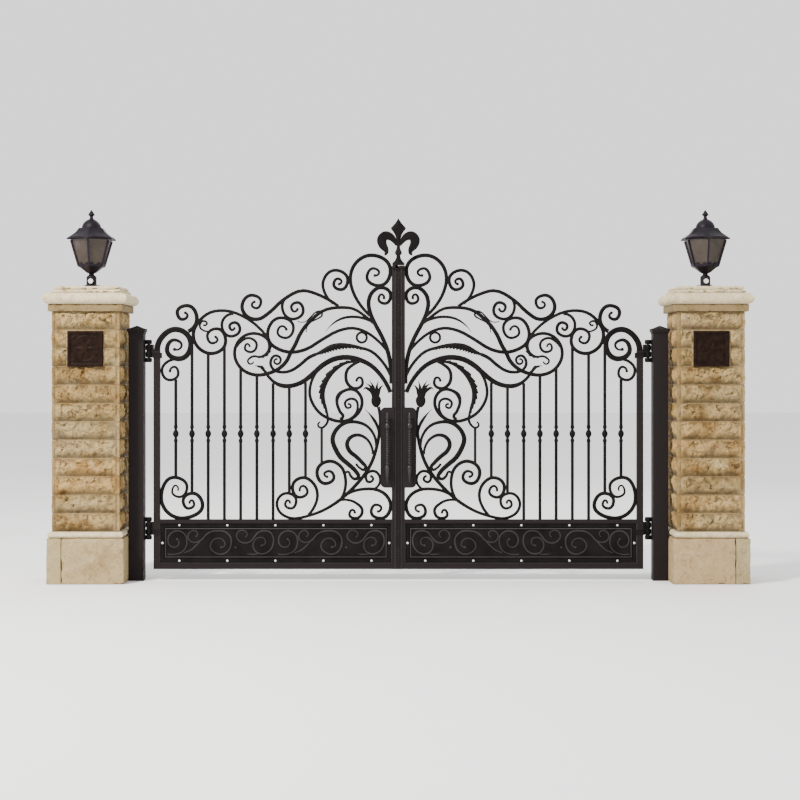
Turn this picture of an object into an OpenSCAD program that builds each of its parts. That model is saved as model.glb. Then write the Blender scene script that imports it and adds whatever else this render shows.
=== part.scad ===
// Wrought iron driveway gate: two scrolled leaves hung between steel posts, with a lantern-topped
// stone pier at each side. Millimetres, +Z up, street side towards -Y, origin on the ground
// in the middle of the opening.

/* [Opening] */
// Clear width between the two gate posts
clear_opening = 4060; // [3400:10:5000]
// Gap under the closed leaves
ground_gap = 90; // [40:5:150]

/* [Leaves] */
// Height of the meeting stiles above the ground
stile_top = 2510; // [2100:10:3000]
// Width and depth of the square stiles
stile_w = 50; // [40:1:60]
// Top of the solid kick panel above the ground
kick_top = 485; // [400:5:600]
// Height of the rail over the kick panel
top_rail_h = 30; // [20:1:50]
// Height of the bottom rail
bottom_rail_h = 50; // [30:1:70]
// Gap between the two meeting stiles
meeting_gap = 6; // [5:1:20]
// Thickness of the infill bars
bar_d = 20; // [14:1:26]

/* [Scrollwork] */
// Depth of the forged scroll bars
scroll_t = 20; // [14:1:30]
// Factor on the width of every scroll bar
scroll_w = 1; // [0.8:0.05:1.2]
// Crevices narrower than twice this are filled with weld
weld = 2; // [1:0.5:4]

/* [Gate posts] */
// Width of the square gate post
post_w = 120; // [100:5:150]
// Height of the post under its cap
post_h = 1970; // [1700:10:2200]
// Gap between the hinge stile and the post
hinge_gap = 74; // [70:1:90]

/* [Piers] */
// Width of the pier shaft
pier_w = 540; // [450:10:700]
// Width of the plinth
plinth_w = 610; // [520:10:800]
// Height of the plinth
plinth_h = 360; // [250:10:500]
// Number of stone courses in the shaft
courses = 12; // [9:1:14]
// Height of one stone course
course_h = 144; // [120:1:160]

/* [Lanterns] */
// Radius of the lantern glass at its top, to the corners
glass_top_r = 175; // [150:1:190]
// Radius of the lantern glass at its foot, to the corners
glass_foot_r = 109; // [90:1:120]
// Height of the glass
glass_h = 212; // [180:1:240]

/* [Output] */
// Sub-part to draw, or all

/* [Hidden] */

iron = [0.16, 0.14, 0.14];
stone = [0.80, 0.70, 0.55];
cap_stone = [0.88, 0.82, 0.70];
bronze = [0.28, 0.20, 0.17];
frosted = [0.62, 0.58, 0.54];

// The leaf is drawn on the +X side: x runs from the meeting line out to the hinge.
post_face = clear_opening / 2;
pin_x = post_face - 34;
hinge_out = post_face - hinge_gap;
hinge_in = hinge_out - stile_w;
meet_in = meeting_gap / 2;
meet_out = meet_in + stile_w;
half_t = stile_w / 2;
post_mid = post_face + post_w / 2;
pier_x = post_face + post_w + plinth_w / 2;
fit = 0.1;
seam = 0.2;

// The scrollwork is laid out on a leaf 1,850 wide between its stiles and 2,025 high over the panel.
draft_in = 55;
draft_w = 1850;
draft_foot = 485;
draft_h = 2025;
stretch_x = (hinge_in - meet_out) / draft_w;
stretch_z = (stile_top - kick_top) / draft_h;
bend_step = 15;

function place(p) = [
    meet_out + (p[0] - draft_in) * stretch_x,
    kick_top + (p[1] - draft_foot) * stretch_z
];
function placed(pts) = [for (p = pts) place(p)];

// Smooth curve through points: each point's direction is that of the circle through it and
// its two neighbours, and each span is as long as an arc turning between those directions.
function unit(v) = v / norm(v);
function flip(t, c) = 2 * (t * c) * c - t;
function turn(a, b) = unit(a / (a * a) + b / (b * b));
function inner_heading(p, i) = turn(p[i] - p[i - 1], p[i + 1] - p[i]);
function heading(p, i) =
    i == 0 ? flip(inner_heading(p, 1), unit(p[1] - p[0])) :
    i == len(p) - 1 ? flip(inner_heading(p, i - 1), unit(p[i] - p[i - 1])) :
    inner_heading(p, i);
function bend(p, i) = acos(max(-1, min(1, heading(p, i) * heading(p, i + 1))));
function reach(p, i) = norm(p[i + 1] - p[i]) / pow(cos(bend(p, i) / 4), 2);
function cubic(a, b, u, v, f) =
    a * (1 + 2 * f) * pow(1 - f, 2) + b * f * f * (3 - 2 * f)
    + u * f * pow(1 - f, 2) - v * f * f * (1 - f);
function spans(p, i) = max(2, ceil(bend(p, i) / bend_step));
function curve(p) = concat(
    [for (i = [0 : len(p) - 2])
        for (k = [0 : spans(p, i) - 1])
            cubic(p[i], p[i + 1], heading(p, i) * reach(p, i),
                heading(p, i + 1) * reach(p, i), k / spans(p, i))],
    [p[len(p) - 1]]
);
function progress(p) = concat(
    [for (i = [0 : len(p) - 2])
        for (k = [0 : spans(p, i) - 1])
            (i + k / spans(p, i)) / (len(p) - 1)],
    [1]
);

// Width along a bar: start, middle and end widths joined smoothly.
function ease(f) = (1 - cos(180 * f)) / 2;
function width_at(w, f) = scroll_w * (
    f < 0.5 ? w[0] + (w[1] - w[0]) * ease(f * 2) : w[1] + (w[2] - w[1]) * ease(f * 2 - 1)
);
function side_way(c, i) =
    let (d = unit(c[min(i + 1, len(c) - 1)] - c[max(i - 1, 0)])) [-d[1], d[0]];

// Saw-toothed edge of a forged leaf, as a factor on its half width.
function tooth(f, teeth) = teeth == 0 ? 1 : 1 - 0.35 * (f * teeth - floor(f * teeth));

module band(w, p, teeth = 0) {
    c = curve(p);
    f = progress(p);
    n = len(c);
    far = [for (i = [0 : n - 1]) c[i] + side_way(c, i) * width_at(w, f[i]) / 2];
    near = [for (i = [0 : n - 1])
        c[i] - side_way(c, i) * width_at(w, f[i]) / 2 * tooth(f[i], teeth)];
    for (i = [0 : n - 2])
        polygon([far[i], far[i + 1], near[i + 1], near[i]]);
}

module bars(list) {
    for (b = list)
        band(b[0], placed(b[1]));
}

module eye(x, z, r) {
    translate(place([x, z]))
        circle(r = r, $fn = 16);
}

// Everything forged together is closed up into one outline.
module welded() {
    offset(delta = -weld)
        offset(delta = weld)
            children();
}

module upright(thick, front = 0) {
    rotate([90, 0, 0])
        translate([0, 0, front])
            linear_extrude(height = thick, center = true)
                children();
}

module left_side() {
    mirror([1, 0, 0])
        children();
}

module both_sides() {
    children();
    left_side()
        children();
}

// ---- scroll bars: [start, middle, end width], points ----

swan_neck = [[50, 44, 16], [
    [1928, 1834], [1928, 1842], [1885, 1950], [1785, 2005], [1660, 1880], [1750, 1770],
    [1850, 1850], [1785, 1920], [1735, 1870], [1790, 1845]]];
neck_drop = [[24, 24, 14], [
    [1750, 1762], [1840, 1750], [1890, 1685], [1820, 1600], [1760, 1655], [1798, 1705], [1826, 1672]]];
neck_crest = [[34, 30, 14], [
    [1680, 1990], [1612, 2100], [1690, 2195], [1768, 2135], [1722, 2085], [1688, 2120], [1704, 2138]]];
crown_oval = [[24, 30, 14], [
    [1045, 1935], [1205, 2088], [1390, 2155], [1505, 2140], [1600, 2062], [1640, 1968], [1565, 1832],
    [1495, 1812], [1382, 1910], [1463, 2010], [1528, 1950], [1480, 1895], [1448, 1928], [1462, 1944]]];
oval_curl = [[14, 18, 12], [
    [1497, 1995], [1540, 1990], [1588, 2040], [1557, 2072], [1532, 2048], [1555, 2038]]];
oval_tail = [[24, 26, 14], [
    [1320, 2130], [1412, 2030], [1330, 1950], [1268, 2010], [1310, 2060], [1350, 2022], [1327, 2000],
    [1312, 2014]]];
ridge_wave = [[14, 32, 26], [
    [1152, 2225], [1172, 2205], [1142, 2175], [1100, 2222], [1165, 2278], [1250, 2200], [1205, 2105],
    [1128, 2086], [1030, 2142], [930, 2235], [760, 2315], [655, 2288], [565, 2245], [480, 2190]]];
ridge_curl = [[24, 26, 14], [
    [897, 2262], [930, 2190], [836, 2088], [762, 2158], [814, 2220], [857, 2178], [828, 2148],
    [808, 2166]]];
long_wave = [[14, 30, 24], [
    [897, 2005], [923, 2030], [967, 1985], [910, 1937], [840, 2018], [940, 2098], [1044, 1994],
    [1027, 1898], [957, 1846], [853, 1822], [740, 1846], [610, 1924], [480, 1994], [367, 2015],
    [263, 1985], [176, 1924], [90, 1830]]];
tall_stem = [[36, 34, 14], [
    [58, 1570], [65, 1716], [92, 1846], [135, 1950], [195, 2062], [228, 2141], [240, 2227],
    [215, 2296], [142, 2340], [64, 2280], [115, 2212], [160, 2254], [133, 2284], [117, 2256]]];
top_scroll = [[26, 32, 14], [
    [228, 2114], [307, 2202], [367, 2314], [386, 2418], [350, 2526], [211, 2598], [66, 2479],
    [159, 2355], [252, 2436], [194, 2492], [158, 2453], [190, 2436]]];
shoulder_curl = [[24, 28, 14], [
    [523, 2212], [590, 2297], [605, 2375], [500, 2478], [407, 2392], [462, 2323], [518, 2375],
    [480, 2410], [457, 2384], [475, 2368]]];
swoop_bar = [[24, 34, 26], [
    [203, 2056], [263, 2106], [367, 2171], [454, 2180], [610, 2150], [670, 2106], [740, 2037],
    [792, 1958], [827, 1880], [862, 1820], [896, 1750], [966, 1685], [1035, 1655], [1140, 1640],
    [1260, 1695], [1310, 1830], [1174, 1972], [1055, 1933]]];
swoop_inner = [[20, 22, 12], [
    [1295, 1864], [1261, 1906], [1191, 1935], [1134, 1881], [1187, 1824], [1228, 1856], [1204, 1888],
    [1190, 1870]]];
feather_tail = [[12, 24, 30], [
    [974, 1768], [994, 1750], [974, 1728], [942, 1760], [978, 1795], [1022, 1750], [1000, 1685],
    [931, 1662], [862, 1674], [783, 1725], [723, 1776], [660, 1806]]];
swoosh_tip = [[10, 26, 38], [
    [1130, 1706], [1085, 1690], [1050, 1640], [1000, 1588], [950, 1560], [896, 1551]]];
long_swoosh = [[36, 44, 34], [
    [950, 1560], [896, 1551], [783, 1577], [679, 1655], [610, 1716],
    [523, 1765], [402, 1781], [307, 1760], [219, 1715], [133, 1625], [66, 1500]]];
feather_root = [[26, 26, 26], [
    [300, 1855], [219, 1829], [133, 1750], [66, 1640]]];
ring_branch = [[24, 28, 26], [
    [610, 1712], [668, 1647], [704, 1560], [710, 1482], [678, 1396], [618, 1326], [548, 1288],
    [479, 1270], [383, 1287], [317, 1344], [292, 1413], [308, 1480], [358, 1522], [420, 1520],
    [492, 1440], [470, 1350], [445, 1305], [470, 1287]]];
ring_inner = [[20, 22, 12], [
    [390, 1290], [340, 1336], [327, 1387], [340, 1436], [383, 1450], [428, 1404], [405, 1376],
    [382, 1396], [398, 1408]]];
side_hook = [[26, 28, 14], [
    [300, 1755], [360, 1725], [410, 1680], [422, 1630], [401, 1562], [349, 1532], [288, 1584],
    [310, 1620], [336, 1597]]];
stalk = [[26, 30, 24], [
    [162, 1385], [146, 1283], [155, 1170], [175, 1066], [210, 954], [262, 858], [340, 762],
    [427, 676], [479, 633], [531, 598], [618, 550], [730, 511], [834, 488]]];
stalk_loop = [[22, 40, 14], [
    [179, 1074], [202, 1170], [254, 1232], [340, 1264], [427, 1257], [496, 1205], [528, 1127],
    [505, 1049], [462, 979], [392, 918], [335, 860], [320, 830], [349, 808], [383, 832], [404, 866],
    [427, 856]]];
stalk_loop_inner = [[20, 36, 14], [
    [206, 1006], [219, 1074], [262, 1134], [323, 1160], [383, 1142], [412, 1092], [392, 1032],
    [340, 988], [288, 936], [264, 904], [279, 882], [306, 893], [336, 923]]];
foot_curl = [[20, 24, 14], [
    [193, 730], [158, 762], [147, 806], [210, 872], [262, 832], [232, 784], [205, 814], [220, 830]]];
foot_scroll = [[24, 30, 14], [
    [462, 650], [383, 702], [270, 728], [166, 719], [98, 676], [64, 589], [141, 494], [219, 546],
    [175, 602], [139, 572], [164, 548]]];
foot_small = [[20, 26, 14], [
    [496, 630], [410, 641], [340, 616], [290, 550], [340, 494], [393, 528], [362, 559], [350, 540]]];
foot_tall = [[24, 30, 14], [
    [460, 650], [435, 702], [424, 806], [462, 908], [557, 950], [652, 858], [578, 772], [518, 832],
    [557, 871], [592, 841], [572, 826]]];
foot_back = [[24, 28, 14], [
    [722, 520], [672, 589], [648, 676], [687, 780], [756, 819], [848, 737], [782, 662], [730, 719],
    [774, 750], [790, 718]]];
foot_pair = [[24, 24, 14], [
    [790, 498], [880, 500], [960, 560], [972, 618], [891, 694], [818, 634], [868, 573], [906, 610],
    [880, 636], [868, 618]]];
corner_c = [[14, 32, 14], [
    [1765, 714], [1771, 752], [1809, 710], [1759, 665], [1690, 741], [1782, 821], [1896, 672],
    [1706, 496], [1568, 618], [1648, 694], [1721, 634], [1671, 573], [1634, 610], [1659, 636],
    [1670, 618]]];

// Forged leaves and tendrils.
feather = [[30, 64, 30], [
    [680, 1798], [611, 1824], [523, 1860], [410, 1872], [295, 1852]]];
oak_leaf = [[22, 52, 22], [
    [345, 1747], [410, 1742], [496, 1699], [585, 1594], [612, 1520], [607, 1440], [583, 1370],
    [566, 1300]]];
oak_tail = [[22, 20, 14], [
    [566, 1305], [566, 1274], [588, 1234], [614, 1218], [644, 1240], [627, 1264]]];
hook_leaf = [[26, 34, 20], [
    [1055, 1933], [1030, 1880], [1042, 1822], [1087, 1788], [1139, 1788]]];
hook_tail = [[20, 16, 12], [
    [1135, 1788], [1188, 1776], [1205, 1750], [1178, 1728], [1160, 1748]]];
high_tendril = [[26, 22, 4], [
    [190, 2056], [263, 2089], [367, 2106], [462, 2089], [541, 2037], [584, 1985]]];
stalk_thorn = [[16, 26, 4], [
    [160, 1170], [168, 1224], [210, 1300], [270, 1366]]];
bow_loop = [[8, 16, 8], [
    [808, 2070], [748, 2066], [698, 2110], [658, 2144], [618, 2146], [612, 2120], [648, 2090],
    [698, 2064], [728, 2030], [738, 1980]]];
tulip_left = [[30, 24, 4], [
    [186, 1470], [200, 1500], [236, 1530], [276, 1543]]];
tulip_mid = [[30, 26, 4], [
    [188, 1470], [200, 1515], [215, 1550], [238, 1580]]];
tulip_right = [[24, 22, 4], [
    [186, 1470], [176, 1510], [168, 1545], [166, 1578]]];

crown_set = [
    swan_neck, neck_drop, neck_crest, crown_oval, oval_curl, oval_tail, ridge_wave, ridge_curl,
    top_scroll, shoulder_curl, tall_stem
];
heart_set = [
    long_wave, swoop_bar, swoop_inner, feather_tail, swoosh_tip, long_swoosh, feather_root,
    ring_branch, ring_inner, side_hook
];
base_set = [
    stalk, stalk_loop, stalk_loop_inner, foot_curl, foot_scroll, foot_small, foot_tall, foot_back,
    foot_pair, corner_c
];

module crown_eyes() {
    eye(1790, 1845, 14);
    eye(1826, 1672, 12);
    eye(1704, 2138, 12);
    eye(1462, 1944, 12);
    eye(1555, 2038, 9);
    eye(1312, 2014, 11);
    eye(1152, 2225, 11);
    eye(808, 2166, 12);
    eye(190, 2436, 13);
    eye(475, 2368, 12);
    eye(117, 2256, 12);
}

module heart_eyes() {
    eye(897, 2005, 12);
    eye(1190, 1870, 9);
    eye(974, 1768, 9);
    eye(398, 1408, 10);
    eye(336, 1597, 12);
}

module base_eyes() {
    eye(427, 856, 11);
    eye(336, 923, 11);
    eye(220, 830, 11);
    eye(164, 548, 12);
    eye(350, 540, 11);
    eye(572, 826, 12);
    eye(790, 718, 11);
    eye(868, 618, 10);
    eye(1765, 714, 11);
    eye(1670, 618, 10);
}

// Small ring between the long wave and the feather.
module small_ring() {
    translate(place([295, 1940]))
        difference() {
            circle(r = 50, $fn = 32);
            circle(r = 30, $fn = 32);
        }
}

// Uprights of the leaf frame, as an outline that the scrolls are trimmed to.
module frame_outline() {
    translate([meet_in, ground_gap])
        square([stile_w, stile_top - ground_gap]);
    translate([hinge_in, ground_gap])
        square([stile_w, hinge_stile_top() - ground_gap]);
    translate([meet_out, ground_gap])
        square([hinge_in - meet_out, kick_top - ground_gap]);
}

function hinge_stile_top() = place([0, 1835])[1];

module crown_outline() {
    difference() {
        welded() {
            bars(crown_set);
            crown_eyes();
        }
        offset(delta = fit)
            frame_outline();
    }
}

module heart_outline() {
    difference() {
        welded() {
            bars(heart_set);
            heart_eyes();
            small_ring();
        }
        offset(delta = fit)
            frame_outline();
        offset(delta = fit)
            crown_outline();
    }
}

module base_outline() {
    difference() {
        welded() {
            bars(base_set);
            base_eyes();
        }
        offset(delta = fit)
            frame_outline();
        offset(delta = fit)
            heart_outline();
    }
}

module leaf_outline() {
    difference() {
        welded() {
            band(feather[0], placed(feather[1]), 7);
            band(oak_leaf[0], placed(oak_leaf[1]), 8);
            band(hook_leaf[0], placed(hook_leaf[1]), 5);
            bars([oak_tail, hook_tail, high_tendril, stalk_thorn, bow_loop,
                tulip_left, tulip_mid, tulip_right]);
            translate(place([180, 1430]))
                scale([0.72, 1])
                    circle(r = 50, $fn = 32);
        }
        offset(delta = fit)
            frame_outline();
        offset(delta = fit)
            crown_outline();
        offset(delta = fit)
            heart_outline();
        offset(delta = fit)
            base_outline();
    }
}

// ---- leaf frame ----

module hinge_stile() {
    color(iron)
        translate([hinge_in, -half_t, ground_gap])
            cube([stile_w, stile_w, hinge_stile_top() - ground_gap]);
}

module meeting_stile() {
    color(iron)
        translate([meet_in, -half_t, ground_gap])
            cube([stile_w, stile_w, stile_top - ground_gap]);
}

module rails() {
    color(iron)
        for (r = [[ground_gap, bottom_rail_h], [kick_top - top_rail_h, top_rail_h]])
            translate([meet_out, -half_t, r[0]])
                cube([hinge_in - meet_out, stile_w, r[1]]);
}

// Kick panel: a plate with a raised border, an inner moulding and round rivets at the edges.
panel_t = 8;
border_t = 24;
border_w = 30;
moulding_w = 10;
moulding_t = 18;
moulding_in = 42;
rivet_r = 9;
rivet_h = 5;
panel_foot = ground_gap + bottom_rail_h;
panel_head = kick_top - top_rail_h;
panel_w = hinge_in - meet_out;
panel_h = panel_head - panel_foot;

module frame_band(inset, wide) {
    difference() {
        translate([meet_out + inset, panel_foot + inset])
            square([panel_w - 2 * inset, panel_h - 2 * inset]);
        translate([meet_out + inset + wide, panel_foot + inset + wide])
            square([panel_w - 2 * inset - 2 * wide, panel_h - 2 * inset - 2 * wide]);
    }
}

rivet_pitch = 384;
rivet_edge = 20;
rivet_first = 162;

module rivets() {
    for (z = [panel_foot + border_w / 2, panel_head - border_w / 2])
        for (k = [0 : 4])
            translate([meet_out + rivet_first * stretch_x + k * rivet_pitch * stretch_x, 0, z])
                rivet();
    for (x = [meet_out + rivet_edge, hinge_in - rivet_edge])
        translate([x, 0, (panel_foot + panel_head) / 2])
            rivet();
}

module rivet() {
    translate([0, seam - border_t / 2, 0])
        rotate([90, 0, 0])
            cylinder(h = rivet_h + seam, r1 = rivet_r, r2 = rivet_r / 2, $fn = 24);
}

module kick_panel() {
    color(iron) {
        upright(panel_t)
            translate([meet_out, panel_foot])
                square([panel_w, panel_h]);
        upright(border_t)
            frame_band(0, border_w);
        upright(moulding_t)
            frame_band(moulding_in, moulding_w);
        rivets();
    }
}

// ---- balusters ----

baluster_first = 1780;
baluster_pitch = 129.5;
knot_z = 1170;
baluster_feet = [825, 690, 485, 485, 485, 485, 485, 690, 815];
baluster_heads = [1605, 1870, 1815, 1880, 1700, 1645, 1575, 1555, 1580];
short_x = 615;

module baluster_lines() {
    for (k = [0 : len(baluster_feet) - 1])
        baluster_line(baluster_first - k * baluster_pitch, baluster_feet[k], baluster_heads[k]);
    baluster_line(short_x, 930, 1222);
}

module baluster_line(x, foot, head) {
    low = place([x, foot]);
    high = place([x, head]);
    translate([low[0] - bar_d / 2, low[1]])
        square([bar_d, high[1] - low[1]]);
}

// Turned knot with a collar above and below it.
module knot() {
    rotate_extrude($fn = 48)
        polygon([
            [0, -67], [13, -67], [13, -57], [10, -52], [10, -34], [16, -30], [22, -16], [23, 0],
            [22, 16], [16, 30], [10, 34], [10, 50], [13, 55], [13, 67], [0, 67]
        ]);
}

module balusters() {
    color(iron) {
        upright(bar_d)
            difference() {
                baluster_lines();
                offset(delta = fit)
                    frame_outline();
                offset(delta = fit)
                    crown_outline();
                offset(delta = fit)
                    heart_outline();
                offset(delta = fit)
                    base_outline();
                offset(delta = fit)
                    leaf_outline();
            }
        for (k = [0 : len(baluster_feet) - 1])
            translate([place([baluster_first - k * baluster_pitch, 0])[0], 0,
                place([0, knot_z])[1]])
                knot();
    }
}

// ---- scrollwork ----

module crown_scrolls() {
    color(iron)
        upright(scroll_t)
            crown_outline();
}

module heart_scrolls() {
    color(iron)
        upright(scroll_t)
            heart_outline();
}

module base_scrolls() {
    color(iron)
        upright(scroll_t)
            base_outline();
}

module leaf_work() {
    color(iron)
        upright(scroll_t)
            leaf_outline();
}

// ---- lock plate and pull handle ----

plate_low = 740;
plate_high = 1382;
plate_in = 34;
plate_out = 143;
plate_t = 12;
plate_round = 40;
handle_x = 88;
handle_low = 802;
handle_high = 1322;
handle_out = 40;
handle_knob = 1234;
handle_drop = 904;
knob_r = 21;
pull_r = 7;
arm_r = 8;

function low_of_plate() = place([0, plate_low])[1];
function high_of_plate() = place([0, plate_high])[1];

module lock_plate() {
    low = low_of_plate();
    high = high_of_plate();
    color(iron)
        upright(plate_t, half_t + plate_t / 2)
            hull() {
                translate([plate_in, low])
                    square([plate_round, high - low]);
                for (z = [low + plate_round, high - plate_round])
                    translate([plate_out - plate_round, z])
                        circle(r = plate_round);
            }
}

// Turned vertical pull: two stand-off feet, a twisted-looking bar of beads, a knob and a drop.
bead_pitch = 26;
bead_r = 10;

module pull_handle() {
    low = place([0, handle_low])[1];
    high = place([0, handle_high])[1];
    knob = place([0, handle_knob])[1];
    drop = place([0, handle_drop])[1];
    beads = floor((knob - drop - 60) / bead_pitch);
    face = -half_t - plate_t;
    axis = face - handle_out;
    color(iron) {
        translate([handle_x, axis, low])
            cylinder(h = high - low, r = pull_r, $fn = 24);
        for (z = [high - 20, low + 34])
            translate([handle_x, face, z])
                rotate([90, 0, 0])
                    cylinder(h = handle_out, r = arm_r, $fn = 24);
        translate([handle_x, axis, knob])
            sphere(r = knob_r, $fn = 48);
        translate([handle_x, axis, 0])
            for (k = [0 : beads])
                translate([0, 0, drop + 34 + k * bead_pitch])
                    sphere(r = bead_r, $fn = 24);
        translate([handle_x, axis, 0])
            rotate_extrude($fn = 48)
                polygon([
                    [0, low - 24], [3, low - 20], [9, low + 10], [15, drop - 40], [19, drop],
                    [12, drop + 14], [0, drop + 16]
                ]);
        translate([handle_x, axis, 0])
            rotate_extrude($fn = 48)
                polygon([
                    [0, high - 34], [11, high - 30], [13, high - 10], [8, high + 10],
                    [3, high + 22], [0, high + 24]
                ]);
    }
}

// ---- hinges ----

// Heights of the middles of the two hinges, and of their clamp bands.
hinge_levels = [[414, 382], [1832, 1796]];
barrel_h = 180;
barrel_r = 17;
pin_r = 9;
knuckle_h = 36;
band_h = 44;
band_t = 3;
pin_fit = 0.1;
back_t = 6;

// On the post: a back plate and two knuckles round the pin.
module hinge_brackets() {
    color(iron)
        both_sides()
            for (h = hinge_levels) {
                translate([post_face - back_t, -22, h[0] - barrel_h / 2])
                    cube([back_t, 44, barrel_h]);
                for (z = [h[0] - barrel_h / 2, h[0] + barrel_h / 2 - knuckle_h]) {
                    translate([pin_x, 0, z])
                        cylinder(h = knuckle_h, r = barrel_r);
                    translate([pin_x, -8, z])
                        cube([post_face - back_t - pin_x + seam, 16, knuckle_h]);
                }
                translate([pin_x, 0, h[0] - barrel_h / 2])
                    cylinder(h = barrel_h, r = pin_r);
            }
}

// On the leaf: a sleeve on the pin between the knuckles, and a U-shaped band clamped round the
// stile with two bolts through its inner ends.
sleeve_gap = 2;
band_lap = 12;
bolt_r = 5;
arm_t = 16;

module hinge_straps() {
    color(iron)
        for (h = hinge_levels) {
            low = h[0] - barrel_h / 2 + knuckle_h + sleeve_gap;
            high = h[0] + barrel_h / 2 - knuckle_h - sleeve_gap;
            difference() {
                union() {
                    translate([pin_x, 0, low])
                        cylinder(h = high - low, r = barrel_r);
                    translate([hinge_out, -arm_t / 2, low])
                        cube([pin_x - hinge_out, arm_t, high - low]);
                    translate([hinge_in - band_lap, -half_t - band_t, h[1] - band_h / 2])
                        cube([stile_w + band_lap + band_t, stile_w + 2 * band_t, band_h]);
                }
                translate([pin_x, 0, low - 1])
                    cylinder(h = high - low + 2, r = pin_r + pin_fit);
                translate([hinge_in - 2 * band_lap, -half_t, low - barrel_h])
                    cube([stile_w + 2 * band_lap, stile_w, 3 * barrel_h]);
            }
            for (side = [-1, 1])
                translate([hinge_in - band_lap / 2, side * (half_t + band_t - seam), h[1]])
                    rotate([-90 * side, 0, 0])
                        cylinder(h = bolt_r, r = bolt_r, $fn = 6);
        }
}

// ---- centre ----

// Half of the flat cover strip, on the front of each meeting stile, bevelled on its outer edge.
strip_half = 28;
strip_t = 8;
strip_bevel = 5;

module cover_strip() {
    color(iron)
        translate([0, 0, ground_gap])
            linear_extrude(height = stile_top - ground_gap)
                polygon([
                    [meet_in, -half_t], [strip_half, -half_t],
                    [strip_half, strip_bevel - half_t - strip_t],
                    [strip_half - strip_bevel, -half_t - strip_t], [meet_in, -half_t - strip_t]
                ]);
}

// Fleur-de-lis on the head of the left strip, high enough to pass over the right leaf.
fleur_t = 16;
fleur_low = 2480;
fleur_foot = 2519;
foot_lap = 10;
spear = [
    [0, 2892], [14, 2870], [28, 2850], [46, 2830], [61, 2815], [58, 2805], [42, 2785],
    [27, 2760], [17, 2730], [14, 2700], [16, 2640], [0, 2640]
];
petal = [[14, 56, 12], [
    [14, 2672], [31, 2708], [60, 2740], [107, 2752], [138, 2720], [127, 2675], [98, 2632],
    [92, 2602]]];
foot = [
    [0, fleur_foot], [46, fleur_foot], [42, 2534], [26, 2556], [20, 2600], [28, 2606],
    [28, 2642], [0, 2642]
];

module fleur_outline() {
    translate([0, stile_top - draft_foot - draft_h]) {
        for (s = [0, 1])
            mirror([s, 0]) {
                polygon(spear);
                band(petal[0], petal[1]);
                polygon(foot);
            }
        translate([-strip_half, fleur_low])
            square([strip_half - meet_in, fleur_foot - fleur_low + foot_lap]);
    }
}

module fleur_finial() {
    color(iron)
        upright(fleur_t, half_t + strip_t + fleur_t / 2)
            welded()
                fleur_outline();
}

// ---- gate posts ----

module gate_posts() {
    color(iron)
        both_sides()
            translate([post_face, -post_w / 2, 0])
                cube([post_w, post_w, post_h]);
}

// Post cap: a band, an overhanging lip and a low pyramid.
cap_lip = 11;
cap_collar = 4;
cap_band_h = 14;
cap_lip_h = 26;
pyramid_h = 24;
pyramid_tip = 8;

module post_caps() {
    lip = post_w + 2 * cap_lip;
    collar = post_w + 2 * cap_collar;
    color(iron)
        both_sides()
            translate([post_mid, 0, post_h]) {
                translate([-collar / 2, -collar / 2, 0])
                    cube([collar, collar, cap_band_h]);
                translate([-lip / 2, -lip / 2, cap_band_h])
                    cube([lip, lip, cap_lip_h]);
                translate([0, 0, cap_band_h + cap_lip_h])
                    rotate([0, 0, 45])
                        cylinder(h = pyramid_h, r1 = post_w / sqrt(2), r2 = pyramid_tip, $fn = 4);
            }
}

// ---- stone piers ----

string_w = 590;
string_h = 50;
fascia_w = 590;
fascia_h = 60;
roll_w = 660;
roll_h = 88;
step_h = 27;
step_a_w = 550;
step_b_w = 520;
shaft_foot = plinth_h + string_h;
shaft_head = shaft_foot + courses * course_h;
cap_head = shaft_head + fascia_h + roll_h + 2 * step_h;

module block(w, z, h) {
    translate([pier_x - w / 2, -w / 2, z])
        cube([w, w, h]);
}

// Square slab with half-round edges all the way round.
module bullnose(w, z, h) {
    r = h / 2;
    half = w / 2 - r;
    translate([pier_x, 0, z]) {
        translate([-half, -half, 0])
            cube([2 * half, 2 * half, h]);
        for (a = [0, 90])
            rotate([0, 0, a])
                for (s = [-1, 1]) {
                    translate([s * half, 0, r])
                        rotate([90, 0, 0])
                            cylinder(h = 2 * half, r = r, center = true);
                    translate([s * half, s * half, r])
                        sphere(r = r);
                }
        for (s = [-1, 1])
            translate([s * half, -s * half, r])
                sphere(r = r);
    }
}

module pier_plinths() {
    color(stone)
        both_sides()
            block(plinth_w, 0, plinth_h);
}

module string_courses() {
    color(stone)
        both_sides()
            bullnose(string_w, plinth_h, string_h);
}

module pier_shafts() {
    color(stone)
        both_sides()
            block(pier_w, shaft_foot, shaft_head - shaft_foot);
}

module pier_caps() {
    color(cap_stone)
        both_sides() {
            block(fascia_w, shaft_head, fascia_h);
            bullnose(roll_w, shaft_head + fascia_h, roll_h);
            block(step_a_w, shaft_head + fascia_h + roll_h, step_h);
            block(step_b_w, shaft_head + fascia_h + roll_h + step_h, step_h);
        }
}

// Cast plaque on the front of each shaft, with a raised rim and a plain leaf relief.
plaque_w = 280;
plaque_t = 22;
plaque_rim = 22;
plaque_floor = 12;
petal_count = 6;
petal_r = 42;
petal_flat = 0.45;
petal_off = 52;
petal_rise = 8;
plaque_foot = shaft_foot + 9 * course_h;

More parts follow.
